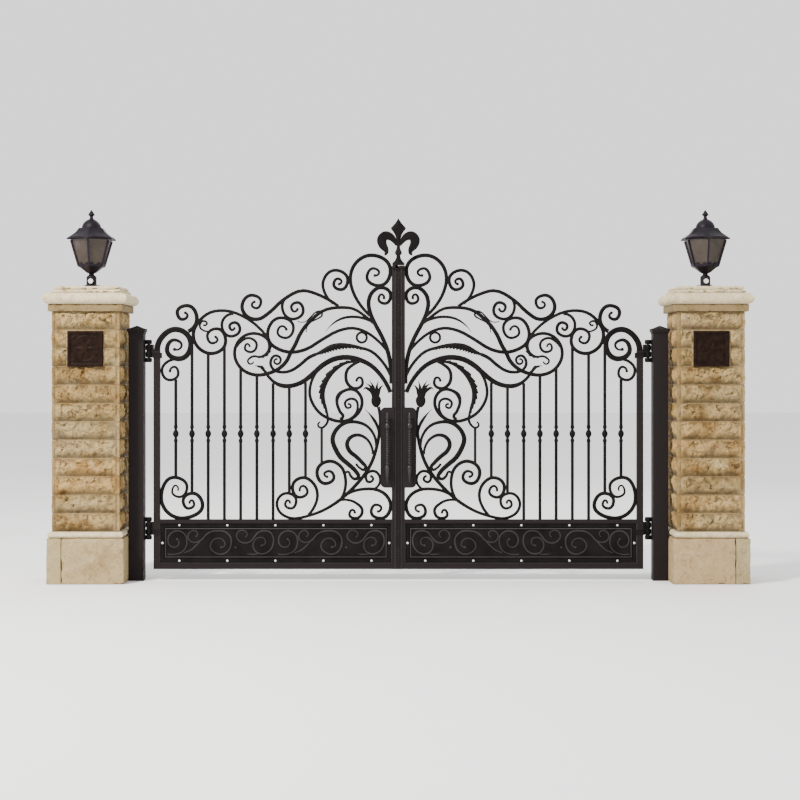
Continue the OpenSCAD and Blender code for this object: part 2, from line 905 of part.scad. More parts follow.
module plaques() {
    color(bronze)
        both_sides()
            translate([pier_x, -pier_w / 2, plaque_foot + plaque_w / 2]) {
                rotate([90, 0, 0])
                    difference() {
                        translate([-plaque_w / 2, -plaque_w / 2, 0])
                            cube([plaque_w, plaque_w, plaque_t]);
                        translate([plaque_rim - plaque_w / 2, plaque_rim - plaque_w / 2, plaque_floor])
                            cube([plaque_w - 2 * plaque_rim, plaque_w - 2 * plaque_rim, plaque_t]);
                    }
                rotate([90, 0, 0])
                    for (a = [0 : petal_count - 1])
                        rotate([0, 0, a * 360 / petal_count])
                            translate([petal_off, 0, plaque_floor - seam])
                                scale([1, petal_flat, 1])
                                    cylinder(h = petal_rise, r = petal_r, $fn = 12);
            }
}

// ---- lanterns ----

flange_h = 18;
stem_h = 98;
bowl_h = 52;
stem_r = 40;
neck_r = 20;
glass_foot = cap_head + flange_h + stem_h + bowl_h;
glass_head = glass_foot + glass_h;
pane_t = 5;
eaves_r = 212;

// Flange, round body and neck, under a six-sided bowl that carries the glass.
module lantern_bases() {
    color(iron)
        both_sides()
            translate([pier_x, 0, cap_head]) {
                rotate_extrude()
                    polygon([
                        [0, 0], [76, 0], [76, 10], [stem_r + 6, flange_h], [stem_r, flange_h + 4],
                        [stem_r, flange_h + 64], [stem_r - 4, flange_h + 72],
                        [neck_r, flange_h + 84], [neck_r, flange_h + stem_h + 1],
                        [0, flange_h + stem_h + 1]
                    ]);
                translate([0, 0, flange_h + stem_h])
                    rotate([0, 0, 30])
                        cylinder(h = bowl_h, r1 = stem_r, r2 = glass_foot_r, $fn = 6);
            }
}

// Round light sensor on the street side of each lantern's body.
sensor_r = 19;
sensor_z = 50;

module lantern_sensors() {
    color(frosted)
        both_sides()
            translate([pier_x, 0, cap_head + sensor_z])
                rotate([90, 0, 0])
                    difference() {
                        cylinder(h = stem_r + 5, r = sensor_r);
                        rotate([90, 0, 0])
                            cylinder(h = 4 * sensor_r, r = stem_r + fit, center = true);
                    }
}

module lantern_glass() {
    color(frosted)
        both_sides()
            translate([pier_x, 0, glass_foot])
                rotate([0, 0, 30])
                    difference() {
                        cylinder(h = glass_h, r1 = glass_foot_r - 6, r2 = glass_top_r - 6, $fn = 6);
                        translate([0, 0, -0.5])
                            cylinder(h = glass_h + 1, r1 = glass_foot_r - 6 - pane_t,
                                r2 = glass_top_r - 6 - pane_t, $fn = 6);
                    }
}

// Six ribs over the corners of the glass.
rib_w = 12;
rib_tilt = atan((glass_top_r - glass_foot_r) / glass_h);
rib_l = norm([glass_h, glass_top_r - glass_foot_r]);

module lantern_frames() {
    color(iron)
        both_sides()
            translate([pier_x, 0, glass_foot])
                for (a = [30 : 60 : 330])
                    rotate([0, 0, a])
                        translate([glass_foot_r - 5.6, 0, 0])
                            rotate([0, rib_tilt, 0])
                                translate([0, -rib_w / 2, 3])
                                    cube([rib_w, rib_w, rib_l - 8]);
}

// Six-sided eaves and hollow-curved skirt, [height, radius to the corners], under a round dome.
skirt = [[0, 184], [16, eaves_r], [32, 178], [55, 131], [92, 104]];

module lantern_roofs() {
    color(iron)
        both_sides()
            translate([pier_x, 0, glass_head]) {
                rotate([0, 0, 30])
                    for (i = [0 : len(skirt) - 2])
                        translate([0, 0, skirt[i][0]])
                            cylinder(h = skirt[i + 1][0] - skirt[i][0], r1 = skirt[i][1],
                                r2 = skirt[i + 1][1], $fn = 6);
                translate([0, 0, skirt[4][0] - 4])
                    rotate_extrude()
                        polygon([
                            [0, 0], [76, 0], [76, 8], [72, 30], [58, 52], [34, 70], [16, 80],
                            [13, 92], [14, 102], [26, 110], [25, 118], [13, 132], [4, 150],
                            [0, 152]
                        ]);
            }
}

// ---- all sub-parts: the leaves are drawn on the right and mirrored to the left ----

pier_plinths();
string_courses();
pier_shafts();
pier_caps();
plaques();
lantern_bases();
lantern_sensors();
lantern_glass();
lantern_frames();
lantern_roofs();
gate_posts();
post_caps();
hinge_brackets();
left_side() hinge_stile();  // left_hinge_stile
left_side() meeting_stile();  // left_meeting_stile
left_side() rails();  // left_rails
left_side() kick_panel();  // left_kick_panel
left_side() balusters();  // left_balusters
left_side() crown_scrolls();  // left_crown_scrolls
left_side() heart_scrolls();  // left_heart_scrolls
left_side() base_scrolls();  // left_base_scrolls
left_side() leaf_work();  // left_leaf_work
left_side() lock_plate();  // left_lock_plate
left_side() pull_handle();  // left_pull_handle
left_side() hinge_straps();  // left_hinge_straps
hinge_stile();  // right_hinge_stile
meeting_stile();  // right_meeting_stile
rails();  // right_rails
kick_panel();  // right_kick_panel
balusters();  // right_balusters
crown_scrolls();  // right_crown_scrolls
heart_scrolls();  // right_heart_scrolls
base_scrolls();  // right_base_scrolls
leaf_work();  // right_leaf_work
lock_plate();  // right_lock_plate
pull_handle();  // right_pull_handle
hinge_straps();  // right_hinge_straps
left_side() cover_strip();  // left_cover_strip
cover_strip();  // right_cover_strip
fleur_finial();
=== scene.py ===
import math
import random
import bpy
import bmesh
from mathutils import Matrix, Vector, noise


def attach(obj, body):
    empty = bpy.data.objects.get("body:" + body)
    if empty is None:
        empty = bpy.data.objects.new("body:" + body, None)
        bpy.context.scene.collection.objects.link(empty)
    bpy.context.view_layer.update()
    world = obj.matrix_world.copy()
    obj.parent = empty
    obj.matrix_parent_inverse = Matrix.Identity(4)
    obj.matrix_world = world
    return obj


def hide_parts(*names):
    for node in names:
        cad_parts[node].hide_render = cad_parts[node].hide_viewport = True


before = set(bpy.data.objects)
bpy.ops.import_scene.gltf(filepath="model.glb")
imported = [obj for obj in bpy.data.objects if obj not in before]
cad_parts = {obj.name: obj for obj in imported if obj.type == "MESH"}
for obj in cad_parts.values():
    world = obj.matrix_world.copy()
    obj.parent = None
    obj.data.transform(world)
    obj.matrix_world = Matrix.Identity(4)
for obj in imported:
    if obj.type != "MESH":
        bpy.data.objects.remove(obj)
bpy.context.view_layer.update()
MM = 0.001

# ---------------------------------------------------------------- materials


def node_material(name):
    """A new material with its node tree and its Principled BSDF."""
    m = bpy.data.materials.new(name)
    m.use_nodes = True
    t = m.node_tree
    return m, t, t.nodes["Principled BSDF"]


def add(t, kind, **values):
    """A node of that kind: _name sets an attribute, any other name an input."""
    n = t.nodes.new(kind)
    for k, v in values.items():
        if k.startswith("_"):
            setattr(n, k[1:], v)
        else:
            n.inputs[k.replace("_", " ")].default_value = v
    return n


def ramp(t, source, stops):
    """Colours eased between (position, colour) stops."""
    n = t.nodes.new("ShaderNodeValToRGB")
    n.color_ramp.interpolation = "EASE"
    while len(n.color_ramp.elements) < len(stops):
        n.color_ramp.elements.new(0.5)
    for e, (at, c) in zip(n.color_ramp.elements, stops):
        e.position = at
        e.color = (*c, 1)
    t.links.new(source, n.inputs[0])
    return n.outputs[0]


def grey(t, source, low, high):
    """A value between low and high that follows a noise."""
    return ramp(t, source, [(0.3, (low,) * 3), (0.7, (high,) * 3)])


def noise_of(t, scale, detail=4, rough=0.55, distort=0.0):
    """Noise in the object's own coordinates."""
    co = t.nodes.new("ShaderNodeTexCoord").outputs["Object"]
    n = add(t, "ShaderNodeTexNoise", Scale=scale, Detail=detail, Roughness=rough, Distortion=distort)
    t.links.new(co, n.inputs["Vector"])
    return n.outputs["Fac"]


def bump_of(t, height, strength, distance, after=None):
    """A bump from the height, laid over the one before it."""
    b = add(t, "ShaderNodeBump", Strength=strength, Distance=distance)
    t.links.new(height, b.inputs["Height"])
    if after is not None:
        t.links.new(after, b.inputs["Normal"])
    return b.outputs["Normal"]


def mix(t, a, b, fac, kind="MIX"):
    """Colour a with b over it; each of the three may be a socket or a plain value."""
    m = t.nodes.new("ShaderNodeMix")
    m.data_type = "RGBA"
    m.blend_type = kind
    for i, v in ((6, a), (7, b)):
        if hasattr(v, "links"):
            t.links.new(v, m.inputs[i])
        else:
            m.inputs[i].default_value = (*v, 1)
    if hasattr(fac, "links"):
        t.links.new(fac, m.inputs[0])
    else:
        m.inputs[0].default_value = fac
    return m.outputs[2]


def iron_material(name, dark, light, rough_lo, rough_hi, grain=0.5, worn=2.2, spec=0.5, ior=1.16):
    """Painted iron, clouded between dark and light, and rubbed lighter on its edges."""
    m, t, p = node_material(name)
    cloud = noise_of(t, 9, 5)
    fine = noise_of(t, 160, 3)
    base = ramp(t, cloud, [(0.3, dark), (0.7, light)])
    geo = t.nodes.new("ShaderNodeNewGeometry")
    edge = ramp(t, geo.outputs["Pointiness"], [(0.53, (0, 0, 0)), (0.62, (1, 1, 1))])
    rubbed = mix(t, base, tuple(c * worn for c in light), edge)
    t.links.new(rubbed, p.inputs["Base Color"])
    t.links.new(grey(t, noise_of(t, 24, 4), rough_lo, rough_hi), p.inputs["Roughness"])
    t.links.new(bump_of(t, fine, grain, 0.0006, bump_of(t, cloud, 0.25, 0.0015)), p.inputs["Normal"])
    p.inputs["Specular IOR Level"].default_value = spec
    p.inputs["IOR"].default_value = ior
    return m


def stone_material(name, stops, vein, grain, chalk, tinted=True):
    """Sandstone: broad colours, darker veins, chalky patches, pits and sand, times the per-vertex tint, which
    holds each stone's own colour and, on some stones, painted shade and painted light.
    """
    m, t, p = node_material(name)
    big = noise_of(t, 3.2, 5, 0.6, 0.6)
    mid = noise_of(t, 17, 6, 0.65, 0.8)
    fine = noise_of(t, 210, 4, 0.7)
    pit = noise_of(t, 62, 5, 0.7, 0.2)
    col = ramp(t, big, stops)
    col = mix(t, col, vein, ramp(t, mid, [(0.48, (0, 0, 0)), (0.72, (0.75, 0.75, 0.75))]))
    col = mix(t, col, chalk, ramp(t, noise_of(t, 7, 5, 0.6, 0.4),
                                  [(0.55, (0, 0, 0)), (0.75, (0.6, 0.6, 0.6))]))
    speck = ramp(t, pit, [(0.3, (0.62, 0.6, 0.58)), (0.52, (1, 1, 1))])
    col = mix(t, col, speck, 0.75, "MULTIPLY")
    sand = ramp(t, fine, [(0.3, (0.86, 0.85, 0.84)), (0.7, (1.1, 1.1, 1.1))])
    col = mix(t, col, sand, 0.8, "MULTIPLY")
    if tinted:
        at = add(t, "ShaderNodeAttribute", _attribute_name="tint")
        col = mix(t, col, at.outputs["Color"], 1.0, "MULTIPLY")
    t.links.new(col, p.inputs["Base Color"])
    t.links.new(grey(t, mid, 0.82, 0.95), p.inputs["Roughness"])
    deeper = max(1, grain)
    n1 = bump_of(t, mid, min(1, 0.5 * grain), 0.004 * deeper)
    n2 = bump_of(t, pit, min(1, 0.6 * grain), 0.0025 * deeper, n1)
    t.links.new(bump_of(t, fine, min(1, 0.7 * grain), 0.0012, n2), p.inputs["Normal"])
    p.inputs["Specular IOR Level"].default_value = 0.25
    return m


IRON = iron_material("iron_satin", (0.0026, 0.002, 0.0021), (0.0056, 0.0043, 0.0043), 0.5, 0.64)
IRON_BAR = iron_material("iron_forged_bar", (0.0024, 0.0019, 0.002), (0.0052, 0.0041, 0.0041), 0.52, 0.66, 0.7)
# This bead iron is several times as light as the satin iron: a painted highlight along the beads.
IRON_PAINTED_HIGHLIGHT_BEAD = iron_material("iron_bead_painted_highlight", (0.018, 0.0155, 0.015), (0.044, 0.039, 0.037), 0.34, 0.46,
                          worn=1.6, spec=0.26, ior=1.4)
# This relief iron is about three times as light as the satin iron: a painted highlight on the pressed relief, the
# pull and the lines on the strips.
IRON_PAINTED_HIGHLIGHT_RELIEF = iron_material("iron_relief_painted_highlight", (0.0065, 0.0056, 0.0057), (0.018, 0.0155, 0.0155), 0.28, 0.4,
                            worn=1.8, spec=0.34, ior=1.45)
IRON_STRIP = iron_material("iron_strip", (0.0028, 0.0021, 0.0021), (0.0058, 0.0045, 0.0044), 0.44, 0.56, 0.6, 1.8)
PANEL = iron_material("iron_panel", (0.003, 0.0023, 0.0023), (0.007, 0.0055, 0.0053), 0.44, 0.58, 0.9)
LANTERN = iron_material("lantern_enamel", (0.0036, 0.0022, 0.0045), (0.009, 0.0058, 0.0105), 0.38, 0.52, 0.4,
                        worn=1.3, ior=1.22)
ROCK = stone_material(
    "sandstone_rock_faced",
    [(0.3, (0.2, 0.112, 0.034)), (0.43, (0.275, 0.178, 0.066)), (0.56, (0.36, 0.254, 0.112)),
     (0.7, (0.27, 0.19, 0.096))],
    (0.165, 0.082, 0.022), 2.6, (0.47, 0.365, 0.2))
DRESSED = stone_material(
    "sandstone_dressed",
    [(0.3, (0.46, 0.37, 0.215)), (0.5, (0.56, 0.475, 0.31)), (0.7, (0.5, 0.405, 0.25))],
    (0.37, 0.275, 0.14), 0.6, (0.68, 0.61, 0.46))
PLINTH = stone_material(
    "sandstone_plinth",
    [(0.3, (0.24, 0.158, 0.078)), (0.5, (0.35, 0.258, 0.142)), (0.7, (0.29, 0.21, 0.112))],
    (0.2, 0.122, 0.052), 0.9, (0.44, 0.355, 0.23))
MORTAR = stone_material(
    "lime_mortar", [(0.3, (0.2, 0.13, 0.055)), (0.7, (0.27, 0.185, 0.085))], (0.14, 0.09, 0.035), 0.8,
    (0.3, 0.22, 0.11), False)


def plaque_material():
    """Dark brown cast bronze."""
    m, t, p = node_material("plaque_bronze")
    cloud = noise_of(t, 30, 5, 0.6)
    t.links.new(ramp(t, cloud, [(0.3, (0.006, 0.0026, 0.0016)), (0.7, (0.0135, 0.0066, 0.0042))]),
                p.inputs["Base Color"])
    t.links.new(grey(t, noise_of(t, 70, 4), 0.42, 0.6), p.inputs["Roughness"])
    t.links.new(bump_of(t, noise_of(t, 240, 4), 0.5, 0.0008), p.inputs["Normal"])
    p.inputs["Specular IOR Level"].default_value = 0.2
    p.inputs["IOR"].default_value = 1.22
    return m


def pane_material():
    """Frosted glass, clouded warm to grey, that lets a little light through."""
    m, t, p = node_material("frosted_pane")
    cloud = noise_of(t, 8, 3, 0.5, 0.3)
    t.links.new(ramp(t, cloud, [(0.3, (0.022, 0.0135, 0.008)), (0.55, (0.038, 0.026, 0.0175)),
                                (0.75, (0.052, 0.04, 0.038))]), p.inputs["Base Color"])
    t.links.new(grey(t, noise_of(t, 40, 4), 0.3, 0.45), p.inputs["Roughness"])
    t.links.new(bump_of(t, noise_of(t, 320, 3), 0.35, 0.0005), p.inputs["Normal"])
    p.inputs["Transmission Weight"].default_value = 0.12
    p.inputs["Specular IOR Level"].default_value = 0.3
    p.inputs["IOR"].default_value = 1.5
    return m


def pale_material(name, dark, light, rough, metal):
    """Small bright parts: rivets and sensors."""
    m, t, p = node_material(name)
    t.links.new(ramp(t, noise_of(t, 120, 4), [(0.3, dark), (0.7, light)]), p.inputs["Base Color"])
    t.links.new(grey(t, noise_of(t, 200, 3), rough, rough + 0.12), p.inputs["Roughness"])
    t.links.new(bump_of(t, noise_of(t, 400, 3), 0.3, 0.0003), p.inputs["Normal"])
    p.inputs["Metallic"].default_value = metal
    return m


PLAQUE = plaque_material()
PANE = pane_material()
ZINC = pale_material("rivet_zinc", (0.5, 0.49, 0.48), (0.78, 0.77, 0.75), 0.3, 0.55)
LENS = pale_material("sensor_lens", (0.62, 0.62, 0.6), (0.82, 0.82, 0.8), 0.25, 0.0)

# ---------------------------------------------------------------- mesh helpers


class Build:
    """Vertices, in millimetres, and faces gathered into one piece."""

    def __init__(self):
        self.v, self.f, self.tint = [], [], []

    def put(self, verts, faces, tint=(1, 1, 1), mirrored=False):
        """Add a shape; tint is one colour for it, or a list with one for each vertex."""
        n = len(self.v)
        if mirrored:
            verts = [(-x, y, z) for x, y, z in verts]
            faces = [tuple(reversed(f)) for f in faces]
        self.v += verts
        self.f += [tuple(n + i for i in f) for f in faces]
        self.tint += tint if isinstance(tint, list) else [tint] * len(verts)

    def bend(self, first, change):
        """Move every vertex from number first on to change(x, y, z)."""
        self.v[first:] = [change(*p) for p in self.v[first:]]

    def piece(self, name, mat, body, slot, smooth=True, angle=40, replaces=()):
        """Make the object, in metres, on its body; the slot is not used."""
        me = bpy.data.meshes.new(name)
        me.from_pydata([(x * MM, y * MM, z * MM) for x, y, z in self.v], [], self.f)
        me.validate()
        bm = bmesh.new()
        bm.from_mesh(me)
        bmesh.ops.recalc_face_normals(bm, faces=bm.faces)
        bm.to_mesh(me)
        bm.free()
        if mat in (ROCK, PLINTH, DRESSED):
            a = me.color_attributes.new("tint", "FLOAT_COLOR", "POINT")
            for i, c in enumerate(self.tint):
                a.data[i].color = (*c, 1)
        o = bpy.data.objects.new(name, me)
        bpy.context.scene.collection.objects.link(o)
        me.materials.append(mat)
        if smooth:
            me.shade_smooth()
            me.set_sharp_from_angle(angle=math.radians(angle))
        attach(o, body)
        if replaces:
            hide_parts(*replaces)


def skin(rings, m):
    """Faces of a closed tube: rings of m points each, with a cap on both ends."""
    faces = [(i * m + k, i * m + (k + 1) % m, (i + 1) * m + (k + 1) % m, (i + 1) * m + k)
             for i in range(rings - 1) for k in range(m)]
    return faces + [tuple(reversed(range(m))), tuple((rings - 1) * m + k for k in range(m))]


def bent(q, power):
    """q raised to a power with its sign kept: under 1 it squares a circle's sines."""
    return math.copysign(abs(q) ** power, q)


def oval(across, front):
    """A ring of twelve points for sweep."""
    return [(across * math.cos(math.radians(q)), front * math.sin(math.radians(q))) for q in range(0, 360, 30)]


def box(b, lo, hi, mirrored=False):
    """A plain block between two corners."""
    x0, y0, z0 = lo
    x1, y1, z1 = hi
    v = [(x0, y0, z0), (x1, y0, z0), (x1, y1, z0), (x0, y1, z0),
         (x0, y0, z1), (x1, y0, z1), (x1, y1, z1), (x0, y1, z1)]
    f = [(0, 3, 2, 1), (4, 5, 6, 7), (0, 1, 5, 4), (1, 2, 6, 5), (2, 3, 7, 6), (3, 0, 4, 7)]
    b.put(v, f, mirrored=mirrored)


def lathe(b, profile, centre, sides=24, axis="z", mirrored=False, ribs=0, rib_depth=0.0, square=0):
    """Turned shape from (radius, height) pairs, closed at both ends.

    Heights grow up the Z axis, or towards the street with axis "y". The rows whose radius is square are
    drawn as a square with round corners.
    """
    cx, cy, cz = centre
    v = []
    for r, h in profile:
        for k in range(sides):
            a = 2 * math.pi * k / sides
            c, s = math.cos(a), math.sin(a)
            if r == square:
                x, y = r * bent(c, 0.4), r * bent(s, 0.4)
            else:
                q = r * (1 - rib_depth * (0.5 - 0.5 * math.cos(ribs * a)))
                x, y = q * c, q * s
            v.append((cx + x, cy + y, cz + h) if axis == "z" else (cx + x, cy - h, cz + y))
    b.put(v, skin(len(profile), sides), mirrored=mirrored)


def sweep(b, line, ring, mirrored=False):
    """A closed tube: ring(i) gives the (across, front) pairs round the point line[i]."""
    v = []
    for i, (x, z) in enumerate(line):
        ax, az = line[max(i - 1, 0)]
        bx, bz = line[min(i + 1, len(line) - 1)]
        d = math.hypot(bx - ax, bz - az) or 1
        nx, nz = -(bz - az) / d, (bx - ax) / d
        v += [(x + nx * a, -y, z + nz * a) for a, y in ring(i)]
    b.put(v, skin(len(line), len(ring(0))), mirrored=mirrored)


# ---------------------------------------------------------------- sizes, millimetres

GROUND, TOP, KICK = 90, 2510, 485                   # foot and head of a leaf, head of its kick panel
MEET_OUT, HINGE_IN, PIN_X = 53, 1906, 1996          # the leaf's opening between its stiles, and the hinge pins
SX, SZ = (HINGE_IN - MEET_OUT) / 1850, (TOP - KICK) / 2025
SHAFT_LOW, COURSES, COURSE = 410, 12, 144           # foot of a shaft, number of courses, height of one
PLAQUE_COURSES = (9, 10)
CAP = 2340                                          # head of a pier
GLASS_LOW, GLASS_HIGH, PANE_R = 2508, 2720, 109     # panes, and the radius at their feet
PIERS = (-2455, 2455)                               # middle of each pier
LEAVES = (("left", True), ("right", False))         # shapes are drawn for +X, and mirrored for the left leaf


def place(p):
    """A stroke's point, in the gate's millimetres."""
    return (MEET_OUT + (p[0] - 55) * SX, KICK + (p[1] - 485) * SZ)


def curve(pts, step=9):
    """Smooth curve through the points, each turned to the circle through its neighbours."""
    p = [Vector(q) for q in pts]

    def turn(a, b):
        return (a / a.length_squared + b / b.length_squared).normalized()

    t = [turn(p[i] - p[i - 1], p[i + 1] - p[i]) for i in range(1, len(p) - 1)]

    def flip(t, c):
        c = c.normalized()
        return 2 * t.dot(c) * c - t

    t = [flip(t[0], p[1] - p[0])] + t + [flip(t[-1], p[-1] - p[-2])]
    out, at = [], []
    for i in range(len(p) - 1):
        ang = math.degrees(t[i].angle(t[i + 1]))
        m = (p[i + 1] - p[i]).length / math.cos(math.radians(ang / 4)) ** 2
        k = max(3, math.ceil(ang / step))
        for j in range(k):
            f = j / k
            q = (p[i] * (1 + 2 * f) * (1 - f) ** 2 + p[i + 1] * f * f * (3 - 2 * f)
                 + t[i] * m * f * (1 - f) ** 2 - t[i + 1] * m * f * f * (1 - f))
            out.append((q.x, q.y))
            at.append((i + f) / (len(p) - 1))
    out.append((p[-1].x, p[-1].y))
    at.append(1.0)
    return out, at


def ease(f):
    """0 to 1, slow at both ends."""
    return (1 - math.cos(math.pi * f)) / 2


def width_at(w, f):
    """Width of a stroke at the fraction f of its way, from its (start, middle, end) widths."""
    return w[0] + (w[1] - w[0]) * ease(f * 2) if f < 0.5 else w[1] + (w[2] - w[1]) * ease(f * 2 - 1)


def forged(b, stroke, mirrored, depth=10.0, eye=0, raw=False, bulge=1.0):
    """A bar drawn down towards its ends, squarish in section, with an eye rolled at its end.

    A raw stroke is in the gate's millimetres already.
    """
    w, pts = stroke
    line, at = curve(pts if raw else [place(q) for q in pts])
    angles = [2 * math.pi * k / 12 for k in range(12)]

    def ring(i):
        half = max(width_at(w, at[i]) / 2, 1.5)
        d = min(depth, half * 1.02 + 0.5) * bulge
        return [(half * bent(math.cos(a), 0.5), d * bent(math.sin(a), 0.5)) for a in angles]

    sweep(b, line, ring, mirrored)
    if eye:
        x, z = line[-1]
        ball = [(max(0.4, eye * math.cos(math.radians(q))), 9.5 * math.sin(math.radians(q)))
                for q in range(-90, 91, 20)]
        lathe(b, ball, (x, 0, z), 16, "y", mirrored)


def leaf_blade(b, stroke, mirrored, teeth):
    """A forged leaf: thin edges, a raised midrib, and saw teeth along one edge with veins to them."""
    w, pts = stroke
    line, at = curve([place(q) for q in pts], 4)
    depth, steps = 9, 8
    n = teeth * steps
    fine = []
    for k in range(n + 1):
        f = k / n
        i = min(len(at) - 2, max(j for j in range(len(at)) if at[j] <= f + 1e-9))
        g = (f - at[i]) / (at[i + 1] - at[i])
        fine.append(tuple(line[i][c] + (line[i + 1][c] - line[i][c]) * g for c in (0, 1)))

    def ring(i):
        half = width_at(w, i / n) / 2
        s = (i % steps) / (steps - 1)
        vein = 1.6 * math.cos(2 * math.pi * s)
        far, near = half, -half * (1.15 - 0.5 * s)
        return [(far, 0), (far * 0.55, depth * 0.75 + vein * 0.4), (0, depth), (near * 0.55, depth * 0.62 + vein),
                (near, 0), (near * 0.55, -depth * 0.62 - vein), (0, -depth), (far * 0.55, -depth * 0.75)]

    sweep(b, fine, ring, mirrored)


# ---------------------------------------------------------------- strokes of a leaf, on the +X side

# [start, middle, end width], points, radius of the eye at the end

CROWN = [
    ([50, 44, 16], [(1929, 1834), (1929, 1842), (1885, 1950), (1785, 2005), (1660, 1880), (1750, 1770),
     (1850, 1850), (1785, 1920), (1735, 1870), (1790, 1845)], 14),
    ([24, 24, 19], [(1750, 1762), (1840, 1750), (1890, 1685), (1820, 1600), (1760, 1655), (1798, 1705),
     (1826, 1672)], 12),
    ([34, 30, 19], [(1680, 1990), (1612, 2100), (1690, 2195), (1768, 2135), (1722, 2085), (1688, 2120),
     (1704, 2138)], 12),
    ([24, 30, 19], [(1045, 1935), (1205, 2088), (1390, 2155), (1505, 2140), (1600, 2062), (1640, 1968),
     (1565, 1832), (1495, 1812), (1382, 1910), (1463, 2010), (1528, 1950), (1480, 1895), (1448, 1928),
     (1462, 1944)], 12),
    ([14, 18, 16], [(1497, 1995), (1540, 1990), (1588, 2040), (1557, 2072), (1532, 2048), (1555, 2038)], 9),
    ([24, 26, 19], [(1320, 2130), (1412, 2030), (1330, 1950), (1268, 2010), (1310, 2060), (1350, 2022),
     (1327, 2000), (1312, 2014)], 11),
    ([26, 32, 19], [(480, 2190), (565, 2245), (655, 2288), (760, 2315), (930, 2235), (1030, 2142),
     (1128, 2086), (1205, 2105), (1250, 2200), (1165, 2278), (1100, 2222), (1142, 2175), (1172, 2205),
     (1152, 2225)], 11),
    ([24, 26, 19], [(897, 2262), (930, 2190), (836, 2088), (762, 2158), (814, 2220), (857, 2178), (828, 2148),
     (808, 2166)], 12),
    ([26, 32, 19], [(228, 2114), (307, 2202), (367, 2314), (386, 2418), (350, 2526), (211, 2598), (66, 2479),
     (159, 2355), (252, 2436), (194, 2492), (158, 2453), (190, 2436)], 13),
    ([24, 28, 19], [(523, 2212), (590, 2297), (605, 2375), (500, 2478), (407, 2392), (462, 2323), (518, 2375),
     (480, 2410), (457, 2384), (475, 2368)], 12),
    ([36, 34, 19], [(58, 1570), (65, 1716), (92, 1846), (135, 1950), (195, 2062), (228, 2141), (240, 2227),
     (215, 2296), (142, 2340), (64, 2280), (115, 2212), (160, 2254), (133, 2284), (117, 2256)], 12),
]
HEART = [
    ([24, 30, 19], [(90, 1830), (176, 1924), (263, 1985), (367, 2015), (480, 1994), (610, 1924), (740, 1846),
     (853, 1822), (957, 1846), (1027, 1898), (1044, 1994), (940, 2098), (840, 2018), (910, 1937), (967, 1985),
     (923, 2030), (897, 2005)], 12),
    ([24, 34, 26], [(203, 2056), (263, 2106), (367, 2171), (454, 2180), (610, 2150), (670, 2106), (740, 2037),
     (792, 1958), (827, 1880), (862, 1820), (896, 1750), (966, 1685), (1035, 1655), (1140, 1640),
     (1260, 1695), (1310, 1830), (1174, 1972), (1055, 1933)], 0),
    ([20, 22, 16], [(1295, 1864), (1261, 1906), (1191, 1935), (1134, 1881), (1187, 1824), (1228, 1856),
     (1204, 1888), (1190, 1870)], 9),
    ([30, 24, 16], [(660, 1806), (723, 1776), (783, 1725), (862, 1674), (931, 1662), (1000, 1685),
     (1022, 1750), (978, 1795), (942, 1760), (974, 1728), (994, 1750), (974, 1768)], 9),
    ([10, 26, 38], [(1130, 1706), (1085, 1690), (1050, 1640), (1000, 1588), (950, 1560), (896, 1551)], 0),
    ([36, 44, 34], [(950, 1560), (896, 1551), (783, 1577), (679, 1655), (610, 1716), (523, 1765), (402, 1781),
     (307, 1760), (219, 1715), (133, 1625), (66, 1500)], 0),
    ([26, 26, 26], [(300, 1855), (219, 1829), (133, 1750), (66, 1640)], 0),
    ([24, 28, 26], [(610, 1712), (668, 1647), (704, 1560), (710, 1482), (678, 1396), (618, 1326), (548, 1288),
     (479, 1270), (383, 1287), (317, 1344), (292, 1413), (308, 1480), (358, 1522), (420, 1520), (492, 1440),
     (470, 1350), (445, 1305), (470, 1287)], 0),
    ([20, 22, 16], [(390, 1290), (340, 1336), (327, 1387), (340, 1436), (383, 1450), (428, 1404), (405, 1376),
     (382, 1396), (398, 1408)], 10),
    ([26, 28, 19], [(300, 1755), (360, 1725), (410, 1680), (422, 1630), (401, 1562), (349, 1532), (288, 1584),
     (310, 1620), (336, 1597)], 12),
]
BASE = [
    ([26, 30, 24], [(162, 1385), (146, 1283), (155, 1170), (175, 1066), (210, 954), (262, 858), (340, 762),
     (427, 676), (479, 633), (531, 598), (618, 550), (730, 511), (834, 488)], 0),
    ([22, 40, 19], [(179, 1074), (202, 1170), (254, 1232), (340, 1264), (427, 1257), (496, 1205), (528, 1127),
     (505, 1049), (462, 979), (392, 918), (335, 860), (320, 830), (349, 808), (383, 832), (404, 866),
     (427, 856)], 11),
    ([20, 36, 19], [(206, 1006), (219, 1074), (262, 1134), (323, 1160), (383, 1142), (412, 1092), (392, 1032),
     (340, 988), (288, 936), (264, 904), (279, 882), (306, 893), (336, 923)], 11),
    ([20, 24, 19], [(193, 730), (158, 762), (147, 806), (210, 872), (262, 832), (232, 784), (205, 814),
     (220, 830)], 11),
    ([24, 30, 19], [(462, 650), (383, 702), (270, 728), (166, 719), (98, 676), (64, 589), (141, 494),
     (219, 546), (175, 602), (139, 572), (164, 548)], 12),
    ([20, 26, 19], [(496, 630), (410, 641), (340, 616), (290, 550), (340, 494), (393, 528), (362, 559),
     (350, 540)], 11),
    ([24, 30, 19], [(460, 650), (435, 702), (424, 806), (462, 908), (557, 950), (652, 858), (578, 772),
     (518, 832), (557, 871), (592, 841), (572, 826)], 12),
    ([24, 28, 19], [(722, 520), (672, 589), (648, 676), (687, 780), (756, 819), (848, 737), (782, 662),
     (730, 719), (774, 750), (790, 718)], 11),
    ([24, 24, 19], [(790, 498), (880, 500), (960, 560), (972, 618), (891, 694), (818, 634), (868, 573),
     (906, 610), (880, 636), (868, 618)], 10),
    ([14, 32, 19], [(1765, 714), (1771, 752), (1809, 710), (1759, 665), (1690, 741), (1782, 821), (1896, 672),
     (1706, 496), (1568, 618), (1648, 694), (1721, 634), (1671, 573), (1634, 610), (1659, 636), (1670, 618)],
     10),
]
